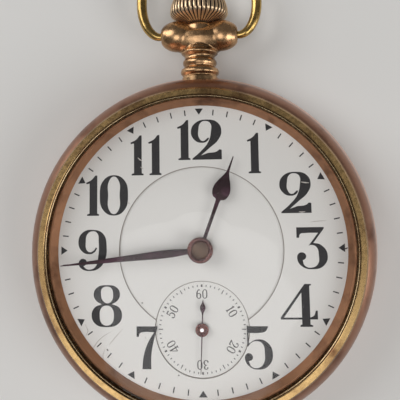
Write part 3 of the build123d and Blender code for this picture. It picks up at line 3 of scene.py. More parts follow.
import bmesh
import bpy
from bpy.props import FloatProperty, FloatVectorProperty, IntProperty, PointerProperty
from mathutils import Matrix, Vector


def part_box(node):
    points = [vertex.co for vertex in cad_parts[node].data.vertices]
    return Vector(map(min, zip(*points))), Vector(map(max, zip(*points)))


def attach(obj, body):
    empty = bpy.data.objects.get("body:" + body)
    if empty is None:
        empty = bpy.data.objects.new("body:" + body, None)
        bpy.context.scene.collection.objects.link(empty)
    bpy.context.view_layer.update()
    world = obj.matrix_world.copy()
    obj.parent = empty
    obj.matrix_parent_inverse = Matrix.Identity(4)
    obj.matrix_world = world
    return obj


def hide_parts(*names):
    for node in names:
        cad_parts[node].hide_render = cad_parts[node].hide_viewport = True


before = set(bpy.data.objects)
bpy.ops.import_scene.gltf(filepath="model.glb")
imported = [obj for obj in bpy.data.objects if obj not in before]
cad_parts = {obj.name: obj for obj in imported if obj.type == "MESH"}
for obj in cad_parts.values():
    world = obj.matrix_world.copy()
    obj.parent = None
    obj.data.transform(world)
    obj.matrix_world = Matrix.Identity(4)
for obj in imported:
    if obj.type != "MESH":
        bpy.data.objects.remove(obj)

bl_info = {
    "name": "Open face pocket watch",
    "version": (1, 0, 0),
    "blender": (4, 5, 0),
    "location": "View3D > Sidebar > Watch",
    "description": "Dresses the solid model of an open face pocket watch with its printing, "
                   "hands and finishes",
    "category": "Object",
}

MM = 0.001

# ------------------------------------------------------------ places taken from the solids
Z_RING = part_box("dial_ring")[1].z
Z_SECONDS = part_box("seconds_dial")[1].z
SECONDS_LOW, SECONDS_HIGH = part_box("seconds_dial")
SECONDS_MID = ((SECONDS_LOW.x + SECONDS_HIGH.x) / 2, (SECONDS_LOW.y + SECONDS_HIGH.y) / 2)
CROWN_LOW, CROWN_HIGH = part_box("crown")
STEM_Z = (CROWN_LOW.z + CROWN_HIGH.z) / 2
BOW_LOW, BOW_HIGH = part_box("bow")
EAR_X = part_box("pendant")[1].x
CASE_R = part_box("case_band")[1].x

# ------------------------------------------------------------ sizes used in more than one piece
INK_FOOT = 0.02 * MM  # how far the printing reaches into the enamel
GRAIN_HEIGHT = 0.02 * MM
BOW_WIRE_R = 0.8 * MM


# ------------------------------------------------------------ settings
def length(name, text, mm):
    return FloatProperty(name=name, description=text, default=mm * MM, unit="LENGTH", precision=5)


def colour(name, text, rgb):
    return FloatVectorProperty(name=name, description=text, default=rgb, size=3, min=0, max=1,
                               subtype="COLOR")


def angle(name, text, deg):
    return FloatProperty(name=name, description=text, default=radians(deg), unit="ROTATION")


def watts(name, text, power):
    return FloatProperty(name=name, description=text, default=power, unit="POWER")


class DialSettings(bpy.types.PropertyGroup):
    enamel: colour("Enamel", "Colour of the fired enamel", (0.585, 0.545, 0.50))
    ink: colour("Ink", "Colour of the printed figures", (0.012, 0.010, 0.012))
    numeral_height: length("Numeral height", "Height of the hour numerals", 5.95)
    numeral_radius: length("Numeral radius", "Distance from the centre to the middle of a numeral", 16.0)
    tick_radius: length("Minute tick radius", "Middle of the minute ticks", 20.12)
    tick_length: length("Minute tick length", "Length of a minute tick", 0.85)
    tick_width: length("Minute tick width", "Width of a minute tick", 0.17)
    triangle_radius: length("Triangle radius", "Middle of the five minute triangles", 20.2)
    triangle_width: length("Triangle width", "Width of a five minute triangle", 1.22)
    triangle_height: length("Triangle height", "Height of a five minute triangle", 0.92)
    ink_height: length("Ink height", "How far the printing stands over the enamel", 0.012)


class HandSettings(bpy.types.PropertyGroup):
    steel: colour("Steel", "Colour of the darkened steel hands", (0.030, 0.014, 0.017))
    rim: colour("Hub rim", "Colour of the hub's raised rim", (0.16, 0.070, 0.060))
    hub: colour("Hub", "Colour of the hub's domed middle", (0.17, 0.105, 0.070))
    hour_angle: angle("Hour hand", "Where the hour hand points, clockwise from twelve", 20.5)
    minute_angle: angle("Minute hand", "Where the minute hand points, clockwise from twelve", 264.2)
    seconds_angle: angle("Seconds hand", "Where the seconds hand points, clockwise from sixty", 182.5)


class CaseSettings(bpy.types.PropertyGroup):
    rose: colour("Rose gold", "Colour of the band and the back", (0.40, 0.205, 0.135))
    pendant: colour("Pendant gold", "Colour of the pendant", (0.57, 0.345, 0.18))
    yellow: colour("Yellow gold", "Colour of the bow and the crown", (0.56, 0.37, 0.125))
    olive: colour("Olive gold", "Colour of the bezel's polished shoulder", (0.46, 0.30, 0.13))
    copper: colour("Copper", "Colour of the bezel's inner slope", (0.46, 0.235, 0.130))
    brown: colour("Toning", "Colour of the darkened film on the gold", (0.11, 0.043, 0.024))
    flutes: IntProperty(name="Crown flutes", description="Number of flutes round the crown", default=40,
                        min=12)
    bow_ear_r: length("Bow at the ear", "Half thickness of the bow where it enters the ear", 0.58)


class StageSettings(bpy.types.PropertyGroup):
    floor: colour("Floor", "Colour of the floor", (0.80, 0.79, 0.77))
    key: watts("Key light", "Power of the key light", 0.55)
    side: watts("Side light", "Power of the side light", 0.46)
    top: watts("Top light", "Power of the top light", 0.28)
    low: watts("Low lights", "Power of each low light", 0.14)
    world: FloatProperty(name="Surround", description="Strength of the surrounding light", default=0.15)


# ------------------------------------------------------------ materials
def add(tree, kind, *inputs, **values):
    """Adds a node. Values set its properties, or its inputs with _ for a space; a socket is linked."""
    n = tree.nodes.new(kind)
    for key, value in (*enumerate(inputs), *values.items()):
        if isinstance(key, str) and hasattr(n, key):
            setattr(n, key, value)
            continue
        socket = n.inputs[key.replace("_", " ") if isinstance(key, str) else key]
        if isinstance(value, bpy.types.NodeSocket):
            tree.links.new(value, socket)
        else:
            socket.default_value = value
    return n


def node(tree, kind, *inputs, out=0, **values):
    """One output of a new node."""
    return add(tree, kind, *inputs, **values).outputs[out]


def surface(tree, **values):
    """Ends a material with a Principled shader."""
    add(tree, "ShaderNodeOutputMaterial", Surface=node(tree, "ShaderNodeBsdfPrincipled", **values))


def place(tree, scale=(1, 1, 1), rotation=(0, 0, 0), location=(0, 0, 0)):
    """Object coordinates in millimetres, moved, turned and stretched."""
    return node(tree, "ShaderNodeMapping", Vector=node(tree, "ShaderNodeTexCoord", out="Object"),
                Scale=tuple(s / MM for s in scale), Rotation=rotation, Location=location)


def noise(tree, vector, scale, detail=3.0, roughness=0.5):
    return node(tree, "ShaderNodeTexNoise", Vector=vector, Scale=scale, Detail=detail, Roughness=roughness)


def ramp(tree, source, stops):
    """Colour ramp; stops are (position, colour) or (position, grey)."""
    n = add(tree, "ShaderNodeValToRGB", source)
    elements = n.color_ramp.elements
    while len(elements) < len(stops):
        elements.new(0.5)
    for e, (pos, value) in zip(elements, stops):
        e.position = pos
        e.color = (*value, 1) if hasattr(value, "__len__") else (value, value, value, 1)
    return n.outputs["Color"]


def blend(tree, fac, a, b, mode="MIX"):
    n = add(tree, "ShaderNodeMix", fac, data_type="RGBA", blend_type=mode)
    for socket, value in ((n.inputs[6], a), (n.inputs[7], b)):
        if isinstance(value, bpy.types.NodeSocket):
            tree.links.new(value, socket)
        else:
            socket.default_value = (*value, 1)
    return n.outputs[2]


def bump(tree, height, strength):
    return node(tree, "ShaderNodeBump", Height=height, Strength=strength, Distance=GRAIN_HEIGHT)


def darker(rgb, share):
    return tuple(c * share for c in rgb)


def metal(tree, rgb, rough, tone, tone_share, tone_scale, grain, grain_scale, metallic=1.0, zones=None):
    """Worn metal: two tones in soft clouds, uneven polish and fine scratches.

    zones are (radius in mm, colour, roughness) rings about the watch's axis, in place of rgb and rough.
    """
    vector = place(tree)
    cloud = noise(tree, vector, tone_scale, 4.0, 0.55)
    mask = ramp(tree, cloud, [(max(0.0, 0.72 - tone_share * 0.6), 0.0),
                              (min(1.0, 0.95 - tone_share * 0.5), 1.0)])
    base = ring_zones(tree, [(r, tint) for r, tint, _ in zones]) if zones else rgb
    polish = noise(tree, vector, 1.7, 5.0, 0.6)
    if zones:
        even = ring_zones(tree, [(r, dull) for r, _, dull in zones])
        level = blend(tree, 1.0, even, ramp(tree, polish, [(0.3, 0.0), (0.7, 0.14)]), "ADD")
    else:
        level = ramp(tree, polish, [(0.3, max(rough - 0.08, 0.04)), (0.7, min(rough + 0.1, 1.0))])
    surface(tree, Base_Color=blend(tree, mask, base, tone or darker(rgb, 0.75)), Metallic=metallic,
            Roughness=level, Normal=bump(tree, noise(tree, vector, grain_scale, 3.0, 0.7), grain))


def ring_zones(tree, zones):
    """Colour or grey by distance from the watch's axis."""
    coords = node(tree, "ShaderNodeTexCoord", out="Object")
    flat = node(tree, "ShaderNodeVectorMath", coords, (1, 1, 0), operation="MULTIPLY")
    reach = node(tree, "ShaderNodeVectorMath", flat, operation="LENGTH", out="Value")
    low, high = zones[0][0], zones[-1][0]
    share = node(tree, "ShaderNodeMapRange", Value=reach, From_Min=low * MM, From_Max=high * MM)
    return ramp(tree, share, [((r - low) / (high - low), value) for r, value in zones])


def stripes(tree, rgb, period, turn):
    """Plated metal with straight damascened stripes."""
    spin = (0, 0, radians(turn))
    wave = node(tree, "ShaderNodeTexWave", Vector=place(tree, rotation=spin), wave_type="BANDS",
                bands_direction="X", wave_profile="SAW", Scale=0.314 / period, Distortion=0.0, out="Fac")
    surface(tree, Base_Color=ramp(tree, wave, [(0.0, darker(rgb, 0.82)), (1.0, rgb)]), Metallic=1.0,
            Roughness=ramp(tree, wave, [(0.0, 0.36), (1.0, 0.17)]),
            Normal=bump(tree, noise(tree, place(tree, (14, 0.6, 1), spin), 3.0, 2.0), 0.12))


def ring_grain(tree, rgb, node_name):
    """Turned steel, with fine concentric grain about the middle of a node."""
    low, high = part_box(node_name)
    middle = (-(low.x + high.x) / 2 / MM, -(low.y + high.y) / 2 / MM, 0)
    wave = node(tree, "ShaderNodeTexWave", Vector=place(tree, location=middle), wave_type="RINGS",
                rings_direction="Z", Scale=5.0, Distortion=1.2, Detail=2.0, out="Fac")
    surface(tree, Base_Color=ramp(tree, wave, [(0.0, darker(rgb, 0.8)), (1.0, rgb)]), Metallic=1.0,
            Roughness=0.25, Normal=bump(tree, wave, 0.12))


def enamel(tree, rgb):
    """Fired enamel with faint mottling, specks and hairline cracks."""
    vector = place(tree)

    def cells(scale, stops, feature):
        return ramp(tree, node(tree, "ShaderNodeTexVoronoi", Vector=vector, feature=feature, Scale=scale,
                               out="Distance"), stops)

    cloud = ramp(tree, noise(tree, vector, 0.12, 4.0, 0.6), [(0.35, 0.0), (0.7, 1.0)])
    base = blend(tree, cloud, rgb, darker(rgb, 0.93))
    sparse = ramp(tree, noise(tree, vector, 0.6, 1.0), [(0.56, 0.0), (0.6, 0.75)])
    spots = blend(tree, 1.0, cells(0.75, [(0.035, 1.0), (0.06, 0.0)], "F1"), sparse, "MULTIPLY")
    base = blend(tree, spots, base, (0.22, 0.17, 0.15))
    where = ramp(tree, noise(tree, vector, 0.09, 2.0), [(0.57, 0.0), (0.66, 0.6)])
    lines = cells(0.16, [(0.0, 1.0), (0.006, 0.0)], "DISTANCE_TO_EDGE")
    base = blend(tree, blend(tree, 1.0, lines, where, "MULTIPLY"), base, (0.30, 0.25, 0.22))
    surface(tree, Base_Color=base, Roughness=0.28, Coat_Weight=0.35, Coat_Roughness=0.12)


def flat_paint(tree, rgb, rough, worn=0.0):
    """Printed ink, a little thin in places where it is worn."""
    base = (*rgb, 1)
    if worn:
        patch = ramp(tree, noise(tree, place(tree), 3.2, 5.0, 0.7), [(0.62, 0.0), (0.74, worn)])
        base = blend(tree, patch, rgb, (0.16, 0.13, 0.14))
    surface(tree, Base_Color=base, Roughness=rough)


def clear_glass(tree):
    """Watch glass: clear from the front, with more reflection at a low angle."""
    facing = node(tree, "ShaderNodeLayerWeight", Blend=0.5, out="Facing")
    veil = ramp(tree, facing, [(0.0, 0.010), (0.6, 0.025), (0.85, 0.12), (1.0, 0.5)])
    surface(tree, Base_Color=(1, 1, 1, 1), Metallic=1.0, Roughness=0.03, Alpha=veil)


def ruby(tree):
    surface(tree, Base_Color=(0.45, 0.01, 0.06, 1), Roughness=0.08, Coat_Weight=1.0, Coat_Roughness=0.03)


def bezel_zones(case):
    """Copper slope, a pale line painted as a highlight between two dark lines painted as shade where the
    glass meets the lip, the polished shoulder and the rose flank.
    """
    # line is painted shade in the seam at the glass's edge; pale is a painted highlight between the two dark
    # lines
    line, pale = (0.030, 0.014, 0.009), (0.52, 0.38, 0.20)
    return [(21.0, case.copper, 0.36), (22.05, case.copper, 0.36), (22.08, line, 0.5), (22.14, line, 0.5),
            (22.17, pale, 0.2), (22.25, pale, 0.2), (22.28, line, 0.4), (22.35, line, 0.4),
            (22.41, case.olive, 0.18), (23.25, case.olive, 0.2), (23.6, darker(case.rose, 0.75), 0.26),
            (26.0, case.rose, 0.26)]


def finishes():
    """The function and the values that make each finish, by name."""
    scene = bpy.context.scene
    case, dial, hands = scene.watch_case, scene.watch_dial, scene.watch_hands
    deep = (case.yellow[0] * 0.8, case.yellow[1] * 0.74, case.yellow[2] * 0.32)
    return {
        # colour, roughness, second tone, its share and scale, grain and its scale, how metallic, zones
        "rose_gold": (metal, case.rose, 0.27, case.brown, 0.5, 0.2, 0.25, 7.0),
        "bezel_gold": (metal, case.olive, 0.24, case.brown, 0.3, 0.2, 0.1, 7.0, 1.0, bezel_zones(case)),
        "pendant_gold": (metal, case.pendant, 0.26, darker(case.pendant, 0.3), 0.5, 0.3, 0.2, 7.0),
        "bow_gold": (metal, case.yellow, 0.2, darker(case.yellow, 0.5), 0.45, 0.5, 0.2, 8.0),
        "crown_gold": (metal, deep, 0.26, darker(deep, 0.4), 0.45, 0.6, 0.2, 9.0),
        "pale_gold": (metal, (0.62, 0.47, 0.28), 0.18, (0.30, 0.17, 0.09), 0.4, 0.3, 0.1, 9.0),
        # painted shade: near black metal for the gaps between the crown's cords, where shade falls
        "painted_flute_gap_shade": (metal, (0.035, 0.018, 0.012), 0.6, (0.12, 0.06, 0.03), 0.35, 0.5, 0.3, 5.0, 0.4),
        "dark_steel": (metal, hands.steel, 0.34, (0.085, 0.034, 0.055), 0.45, 0.5, 0.15, 9.0, 0.6),
        "hub_rim": (metal, hands.rim, 0.3, (0.06, 0.025, 0.03), 0.45, 1.2, 0.15, 9.0, 0.8),
        "hub_brown": (metal, hands.hub, 0.5, (0.10, 0.055, 0.035), 0.5, 1.5, 0.35, 9.0, 0.5),
        "screw_steel": (metal, (0.46, 0.48, 0.54), 0.14, (0.10, 0.14, 0.30), 0.25, 0.9, 0.06, 12.0),
        "polished_steel": (metal, (0.60, 0.60, 0.62), 0.18, None, 0.4, 0.6, 0.08, 10.0),
        "plain_nickel": (metal, (0.70, 0.68, 0.62), 0.3, None, 0.4, 0.5, 0.12, 8.0),
        "gilt_brass": (metal, (0.78, 0.55, 0.24), 0.26, None, 0.4, 0.6, 0.1, 10.0),
        "blued_steel": (metal, (0.03, 0.06, 0.30), 0.2, (0.02, 0.03, 0.16), 0.4, 1.0, 0.05, 10.0),
        "striped_nickel": (stripes, (0.72, 0.70, 0.64), 1.4, 28),
        "snailed_ratchet_wheel": (ring_grain, (0.62, 0.62, 0.64), "ratchet_wheel"),
        "snailed_crown_wheel": (ring_grain, (0.62, 0.62, 0.64), "crown_wheel"),
        "enamel": (enamel, dial.enamel),
        "watch_glass": (clear_glass,),
        "ruby": (ruby,),
        # colour, roughness, how worn
        "dial_ink": (flat_paint, dial.ink, 0.45, 0.5),
        "seconds_ink": (flat_paint, (0.05, 0.042, 0.042), 0.5),
        "rule_ink": (flat_paint, (0.23, 0.19, 0.165), 0.5),
        "crack": (flat_paint, (0.34, 0.29, 0.25), 0.6),
        "dirt": (flat_paint, (0.07, 0.05, 0.045), 0.7),
        "bare_enamel": (flat_paint, dial.enamel, 0.4),
        "floor": (flat_paint, scene.watch_stage.floor, 0.9),
    }


def finish(name):
    """The material of that name, made when it is first asked for."""
    if name not in bpy.data.materials:
        make, *values = finishes()[name]
        mat = bpy.data.materials.new(name)
        mat.use_nodes = True
        mat.node_tree.nodes.clear()
        make(mat.node_tree, *values)
    return bpy.data.materials[name]


# ------------------------------------------------------------ shapes
def placed(where, turn=0.0, axis="Z"):
    """Matrix that turns about an axis and then moves to a place."""
    return Matrix.Translation(where) @ Matrix.Rotation(turn, 4, axis)


def linked(name, data):
    """New object in the scene."""
    obj = bpy.data.objects.new(name, data)
    bpy.context.scene.collection.objects.link(obj)
    return obj


def mesh_object(name, points, faces, look, smooth=None):
    mesh = bpy.data.meshes.new(name)
    mesh.from_pydata([tuple(p) for p in points], [], faces)
    mesh.validate()
    mesh.materials.append(finish(look))
    obj = linked(name, mesh)
    outward(mesh)
    if smooth is not None:
        shade(obj, smooth)
    return obj


def outward(mesh):
    b = bmesh.new()
    b.from_mesh(mesh)
    bmesh.ops.remove_doubles(b, verts=b.verts, dist=1e-8)
    bmesh.ops.recalc_face_normals(b, faces=b.faces)
    b.to_mesh(mesh)
    b.free()


def shade(obj, limit_deg):
    """Smooth shading with sharp edges kept where faces meet at more than the limit."""
    mesh = obj.data
    for p in mesh.polygons:
        p.use_smooth = True
    b = bmesh.new()
    b.from_mesh(mesh)
    for e in b.edges:
        e.smooth = not (len(e.link_faces) == 2 and e.calc_face_angle(0) > radians(limit_deg))
    b.to_mesh(mesh)
    b.free()


def skin(rows, closed=False):
    """Faces between neighbouring rings of point numbers; closed joins the last to the first."""
    faces = []
    for a, b in zip(rows, rows[1:] + rows[:1] if closed else rows[1:]):
        for i in range(len(a)):
            j = (i + 1) % len(a)
            corner = [a[i], a[j], b[j], b[i]]
            unique = [v for n, v in enumerate(corner) if v not in corner[:n]]
            if len(unique) > 2:
                faces.append(unique)
    return faces


def lathe(name, profile, look, steps=192, at=Matrix.Identity(4), smooth=35, sink=None):
    """Closed solid of revolution about Z from (radius, height) rows in mm, then placed by a matrix.

    Where rows have a third value, sink(step, value) says how far each step of the row is drawn in.
    """
    points, rows = [], []
    for r, z, *extra in profile:
        first = len(points)
        if r < 1e-6:
            rows.append([first] * steps)
            points.append(at @ Vector((0, 0, z * MM)))
            continue
        rows.append(list(range(first, first + steps)))
        for i in range(steps):
            t, reach = tau * i / steps, r - sink(i, *extra) if sink else r
            points.append(at @ Vector((reach * MM * cos(t), reach * MM * sin(t), z * MM)))
    closed = profile[0][0] > 1e-6 and profile[-1][0] > 1e-6
    return mesh_object(name, points, skin(rows, closed), look, smooth)


def raised(base, *rows):
    """Rows (radius, height) of a profile, with their heights counted from a base."""
    return [(r, base + h) for r, h in rows]


def evaluated(obj):
    """Mesh of a curve, or of an object as its modifiers leave it."""
    bpy.context.view_layer.update()
    return bpy.data.meshes.new_from_object(obj.evaluated_get(bpy.context.evaluated_depsgraph_get()))


def settle(obj, look):
    """Keeps the mesh that the object's modifiers leave, in one finish."""
    mesh = evaluated(obj)
    obj.modifiers.clear()
    obj.data = mesh
    mesh.materials.clear()
    mesh.materials.append(finish(look))


def filled(name, contours, look, low, high, at=Matrix.Identity(4), bevel=0.0):
    """Flat piece between two heights from closed contours of (x, y, 'c' corner or 's' smooth) in mm."""
    curve = bpy.data.curves.new(name, "CURVE")
    curve.dimensions = "2D"
    curve.fill_mode = "BOTH"
    curve.resolution_u = 10
    curve.extrude = (high - low) / 2 - bevel
    curve.bevel_depth = bevel
    curve.bevel_resolution = 3
    curve.offset = -bevel
    for contour in contours:
        spline = curve.splines.new("BEZIER")
        spline.bezier_points.add(len(contour) - 1)
        spline.use_cyclic_u = True
        for point, (x, y, kind) in zip(spline.bezier_points, contour):
            point.co = (x * MM, y * MM, 0)
            point.handle_left_type = point.handle_right_type = "VECTOR" if kind == "c" else "AUTO"
    obj = linked(name + "_curve", curve)
    mesh = evaluated(obj)
    bpy.data.objects.remove(obj)
    mesh.name = name
    mesh.transform(at @ Matrix.Translation((0, 0, (low + high) / 2)))
    outward(mesh)
    mesh.materials.clear()
    mesh.materials.append(finish(look))
    return linked(name, mesh)


def join(name, objs):
    """One mesh object from several."""
    b = bmesh.new()
    mats = []
    for o in objs:
        slot_of = []
        for mat in o.data.materials:
            if mat not in mats:
                mats.append(mat)
            slot_of.append(mats.index(mat))
        temp = o.data.copy()
        temp.transform(o.matrix_world)
        for p in temp.polygons:
            p.material_index = slot_of[p.material_index]
        b.from_mesh(temp)
        bpy.data.meshes.remove(temp)
    mesh = bpy.data.meshes.new(name)
    b.to_mesh(mesh)
    b.free()
    for mat in mats:
        mesh.materials.append(mat)
    for o in objs:
        bpy.data.objects.remove(o)
    return linked(name, mesh)


def copies_tree():
    """Geometry nodes that set copies of a shape round a circle, each turned to face outwards."""
    name = "ring_of_copies"
    if name in bpy.data.node_groups:
        return bpy.data.node_groups[name]
    tree = bpy.data.node_groups.new(name, "GeometryNodeTree")
    for label, kind in (("Shape", "Object"), ("Count", "Int"), ("Skip every", "Int"), ("Radius", "Float"),
                        ("Start", "Float"), ("Centre", "Vector"), ("Material", "Material")):
        tree.interface.new_socket(label, in_out="INPUT", socket_type="NodeSocket" + kind)
    tree.interface.new_socket("Geometry", in_out="OUTPUT", socket_type="NodeSocketGeometry")
    given = add(tree, "NodeGroupInput").outputs

    def maths(operation, *values):
        return node(tree, "ShaderNodeMath", *values, operation=operation)

    index = node(tree, "GeometryNodeInputIndex")
    turn = maths("ADD", maths("MULTIPLY", maths("DIVIDE", index, given["Count"]), tau), given["Start"])
    across, up = (maths("MULTIPLY", maths(part, turn), given["Radius"]) for part in ("COSINE", "SINE"))
    where = node(tree, "ShaderNodeVectorMath", node(tree, "ShaderNodeCombineXYZ", across, up),
                 given["Centre"], operation="ADD")
    keep = maths("GREATER_THAN", maths("MODULO", index, given["Skip every"]), 0.5)
    keep_all = maths("LESS_THAN", given["Skip every"], 0.5)
    copies = node(tree, "GeometryNodeInstanceOnPoints",
                  Points=node(tree, "GeometryNodePoints", Count=given["Count"], Position=where),
                  Instance=node(tree, "GeometryNodeObjectInfo", Object=given["Shape"], out="Geometry"),
                  Selection=maths("GREATER_THAN", maths("ADD", keep, keep_all), 0.5),
                  Rotation=node(tree, "ShaderNodeCombineXYZ", Z=turn))
    paint = node(tree, "GeometryNodeSetMaterial", Material=given["Material"],
                 Geometry=node(tree, "GeometryNodeRealizeInstances", copies))
    add(tree, "NodeGroupOutput", paint)
    return tree


def ring_of(name, shape, look, count, radius, start, skip=0, centre=(0, 0, 0)):
    """Plain mesh of copies of a shape round a circle. Lengths in metres, start in radians."""
    holder = linked(name, bpy.data.meshes.new(name))
    modifier = holder.modifiers.new("ring", "NODES")
    modifier.node_group = copies_tree()
    values = {"Shape": shape, "Count": count, "Skip every": skip, "Radius": radius, "Start": start,
              "Centre": centre, "Material": finish(look)}
    for item in modifier.node_group.interface.items_tree:
        if item.in_out == "INPUT":
            modifier[item.identifier] = values[item.name]
    settle(holder, look)
    holder.data.name = name
    bpy.data.objects.remove(shape)
    return holder


def box_shape(length_x, width_y, z0, z1):
    x, y = length_x / 2, width_y / 2
    points = [(sx * x, sy * y, z) for z in (z0, z1) for sx, sy in ((-1, -1), (1, -1), (1, 1), (-1, 1))]
    faces = [(0, 3, 2, 1), (4, 5, 6, 7), (0, 1, 5, 4), (1, 2, 6, 5), (2, 3, 7, 6), (3, 0, 4, 7)]
    return mesh_object("mark_shape", points, faces, "dial_ink")


def loose_parts(obj):
    """Lowest and highest corner of every separate shell of a node."""
    b = bmesh.new()
    b.from_mesh(obj.data)
    bmesh.ops.remove_doubles(b, verts=b.verts, dist=1e-7)
    seen, found = set(), []
    for start in b.verts:
        if start in seen:
            continue
        shell, front = [], [start]
        seen.add(start)
        while front:
            v = front.pop()
            shell.append(v.co.copy())
            for edge in v.link_edges:
                other = edge.other_vert(v)
                if other not in seen:
                    seen.add(other)
                    front.append(other)
        found.append((Vector(map(min, zip(*shell))), Vector(map(max, zip(*shell)))))
    b.free()
    return found


# ------------------------------------------------------------ numerals
# Each figure has its width in heights, and closed contours with / between them, of points in units of
# 1/200 of its height. A point is smooth, or a corner where it ends in c.
FIGURE_UNITS = 200
FIGURES = {
    "0": (0.71, """71,200 124,174 142,100 124,26 71,0 18,26 0,100 18,174 / 71,193 95,172 100,100 95,28
        71,7 47,28 42,100 47,172"""),
    "1": (0.33, """6,0c 66,0c 66,7c 57,11c 57,200c 47,200c 30,180 0,164c 3,157c 18,160c 18,11c 6,7c"""),
    "2": (0.76, """6,0c 152,0c 152,48c 140,50c 128,40 84,33c 48,21c 92,58 136,98 152,142 134,184 84,200
        22,184 0,140 18,98 52,84 82,93 91,108c 84,109c 58,93 40,110 37,148 50,186 76,193 98,180 100,140
        86,88 50,44 6,6c"""),
    "3": (0.73, """0,200c 132,200c 132,193c 80,125c 116,115 146,68 126,16 74,0 22,14 0,52 8,75 26,80
        42,69 41,53 26,42c 36,17 70,8 98,24 104,66 93,106 69,115 57,112c 104,173c 40,172 18,168 12,150c
        0,150c"""),
    "4": (0.88, """92,0c 152,0c 152,7c 140,11c 140,34c 176,34c 176,75c 167,75c 158,52 140,43c 140,191c
        148,194c 148,200c 117,200c 0,44c 0,34c 101,34c 101,11c 92,7c / 15,43c 101,43c 101,160c"""),
    "5": (0.665, """12,200c 112,200c 114,197c 100,176 70,169 18,169c 20,120c 56,138 104,128 133,74 112,18
        60,0 18,16 0,52 6,70 20,75 36,64 36,48 18,38c 30,14 60,7 86,24 95,72 84,120 56,131 30,122 17,106c
        13,106c"""),
    "7": (0.505, """0,200c 101,200c 101,190c 84,132 72,68 71,0c 28,0c 34,60 56,124 86,173c 34,173 17,168
        11,151c 0,151c"""),
    "8": (0.75, """75,200 124,188 140,156 126,124 100,109c 136,92 150,54 130,14 75,0 20,14 0,54 14,92
        50,109c 24,124 10,156 26,188 / 75,193 98,184 106,156 100,126 78,113 54,128 46,156 52,184 / 73,102
        100,90 110,52 100,18 75,7 50,18 40,52 48,90"""),
    "9": (0.71, """72,200 124,180 142,116 130,44 100,10 62,0 18,10 2,34 10,54 26,59 41,48 38,31 26,23c
        40,10 62,7 86,20 100,70 102,140 94,184 72,193 46,180 37,140 43,100 58,91 80,102 88,114c 94,110c
        82,91 54,81 18,96 0,140 20,186"""),
}
THIN_FIGURES = {
    "0": (0.55, """55,200 98,172 110,100 98,28 55,0 12,28 0,100 12,172 / 55,186 80,164 86,100 80,36 55,14
        30,36 24,100 30,164"""),
    "1": (0.34, """8,0c 68,0c 68,12c 50,16c 50,200c 40,200c 0,172c 4,160c 26,170c 26,16c 8,12c"""),
    "2": (0.56, """0,0c 108,0c 112,44c 102,44c 94,24c 28,24c 72,72 106,140 84,188 52,200 16,186 2,148
        14,134 28,146 24,172 48,186 76,172 80,136 56,76 0,12c"""),
    "3": (0.54, """4,160 16,186 50,200 88,184 98,152 86,122 68,108c 96,92 108,58 92,16 48,0 10,12 0,40
        12,54 26,40 26,22 48,14 74,26 82,58 70,90 36,100c 36,112c 64,124 72,152 64,178 46,186 26,176
        26,158 14,146"""),
    "4": (0.6, """52,0c 112,0c 112,10c 98,14c 98,48c 120,48c 120,62c 98,62c 98,200c 80,200c 0,62c 0,48c
        74,48c 74,14c 52,10c / 16,62c 74,62c 74,160c"""),
    "5": (0.54, """16,200c 94,200c 88,174c 30,174c 26,124c 54,132 94,112 108,64 88,16 46,0 10,12 0,40
        12,54 26,40 26,22 46,14 74,30 82,66 70,106 48,116 26,106 14,100c"""),
    "6": (0.54, """90,180c 60,200 18,164 0,90 14,20 56,0 94,18 108,60 94,102 58,120 28,108c 38,160 64,184
        84,172c / 56,106 76,92 82,60 76,26 56,14 34,26 26,64 34,94"""),
}


def read_contour(text, units=1):
    """Points (x, y, 'c' corner or 's' smooth) from words such as 12,30 or 12,30c."""
    found = []
    for word in text.split():
        x, y = word.rstrip("c").split(",")
        found.append((float(x) / units, float(y) / units, "c" if word.endswith("c") else "s"))
    return found


def figures(text, height, gap, font):
    """Contours of a number, centred on the origin, in mm."""
    widths = [font[c][0] * height for c in text]
    total = sum(widths) + gap * height * (len(text) - 1)
    contours, x = [], -total / 2
    for c, w in zip(text, widths):
        for line in font[c][1].split("/"):
            contours.append([(x + px * height, (py - 0.5) * height, kind)
                             for px, py, kind in read_contour(line, FIGURE_UNITS)])
        x += w + gap * height
    return contours


# ------------------------------------------------------------ the pieces
FINISHED_SOLIDS = {
    "enamel": "dial_ring dial_centre seconds_dial",
    "rose_gold": "case_band back_cover pendant",
    "bezel_gold": "bezel",
    "bow_gold": "bow",
    "crown_gold": "crown",
    "watch_glass": "crystal",
    "dark_steel": "hour_hand minute_hand seconds_hand",
    "striped_nickel": "barrel_bridge train_bridge balance_cock",
    "plain_nickel": "pillar_plate pallet_bridge",
    "gilt_brass": "barrel barrel_cover centre_wheel third_wheel fourth_wheel escape_wheel "
                  "minute_wheel setting_wheel hour_wheel balance_wheel timing_screws collet roller",
    "blued_steel": "hairspring mainspring",
    "ruby": "jewels pallet_stones",
    "snailed_ratchet_wheel": "ratchet_wheel",
    "snailed_crown_wheel": "crown_wheel",
    "screw_steel": "movement_screws",
}


class WATCH_OT_finishes(bpy.types.Operator):
    """Gives every solid of the case and the movement its finish"""
    bl_idname = "watch.finishes"
    bl_label = "Finishes of the solids"

    def execute(self, context):
        finish_of = {solid: look for look, solids in FINISHED_SOLIDS.items() for solid in solids.split()}
        for solid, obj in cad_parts.items():
            obj.data.materials.clear()
            obj.data.materials.append(finish(finish_of.get(solid, "polished_steel")))
        return {"FINISHED"}


class WATCH_OT_numerals(bpy.types.Operator):
    """Prints the hour numerals, upright, in bold figures with serifs"""
    bl_idname = "watch.numerals"
    bl_label = "Hour numerals"

    def execute(self, context):
        s = context.scene.watch_dial
        pieces = []
        for hour in (12, 1, 2, 3, 4, 5, 7, 8, 9, 10, 11):
            turn = radians(hour * 30)
            at = placed((s.numeral_radius * sin(turn), s.numeral_radius * cos(turn), 0))
            contours = figures(str(hour), s.numeral_height / MM, 0.02 if hour != 11 else 0.12, FIGURES)
            pieces.append(filled("numeral", contours, "dial_ink", Z_RING - INK_FOOT,
                                 Z_RING + s.ink_height, at))
        piece = join("numerals", pieces)
        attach(piece, "case")
        return {"FINISHED"}


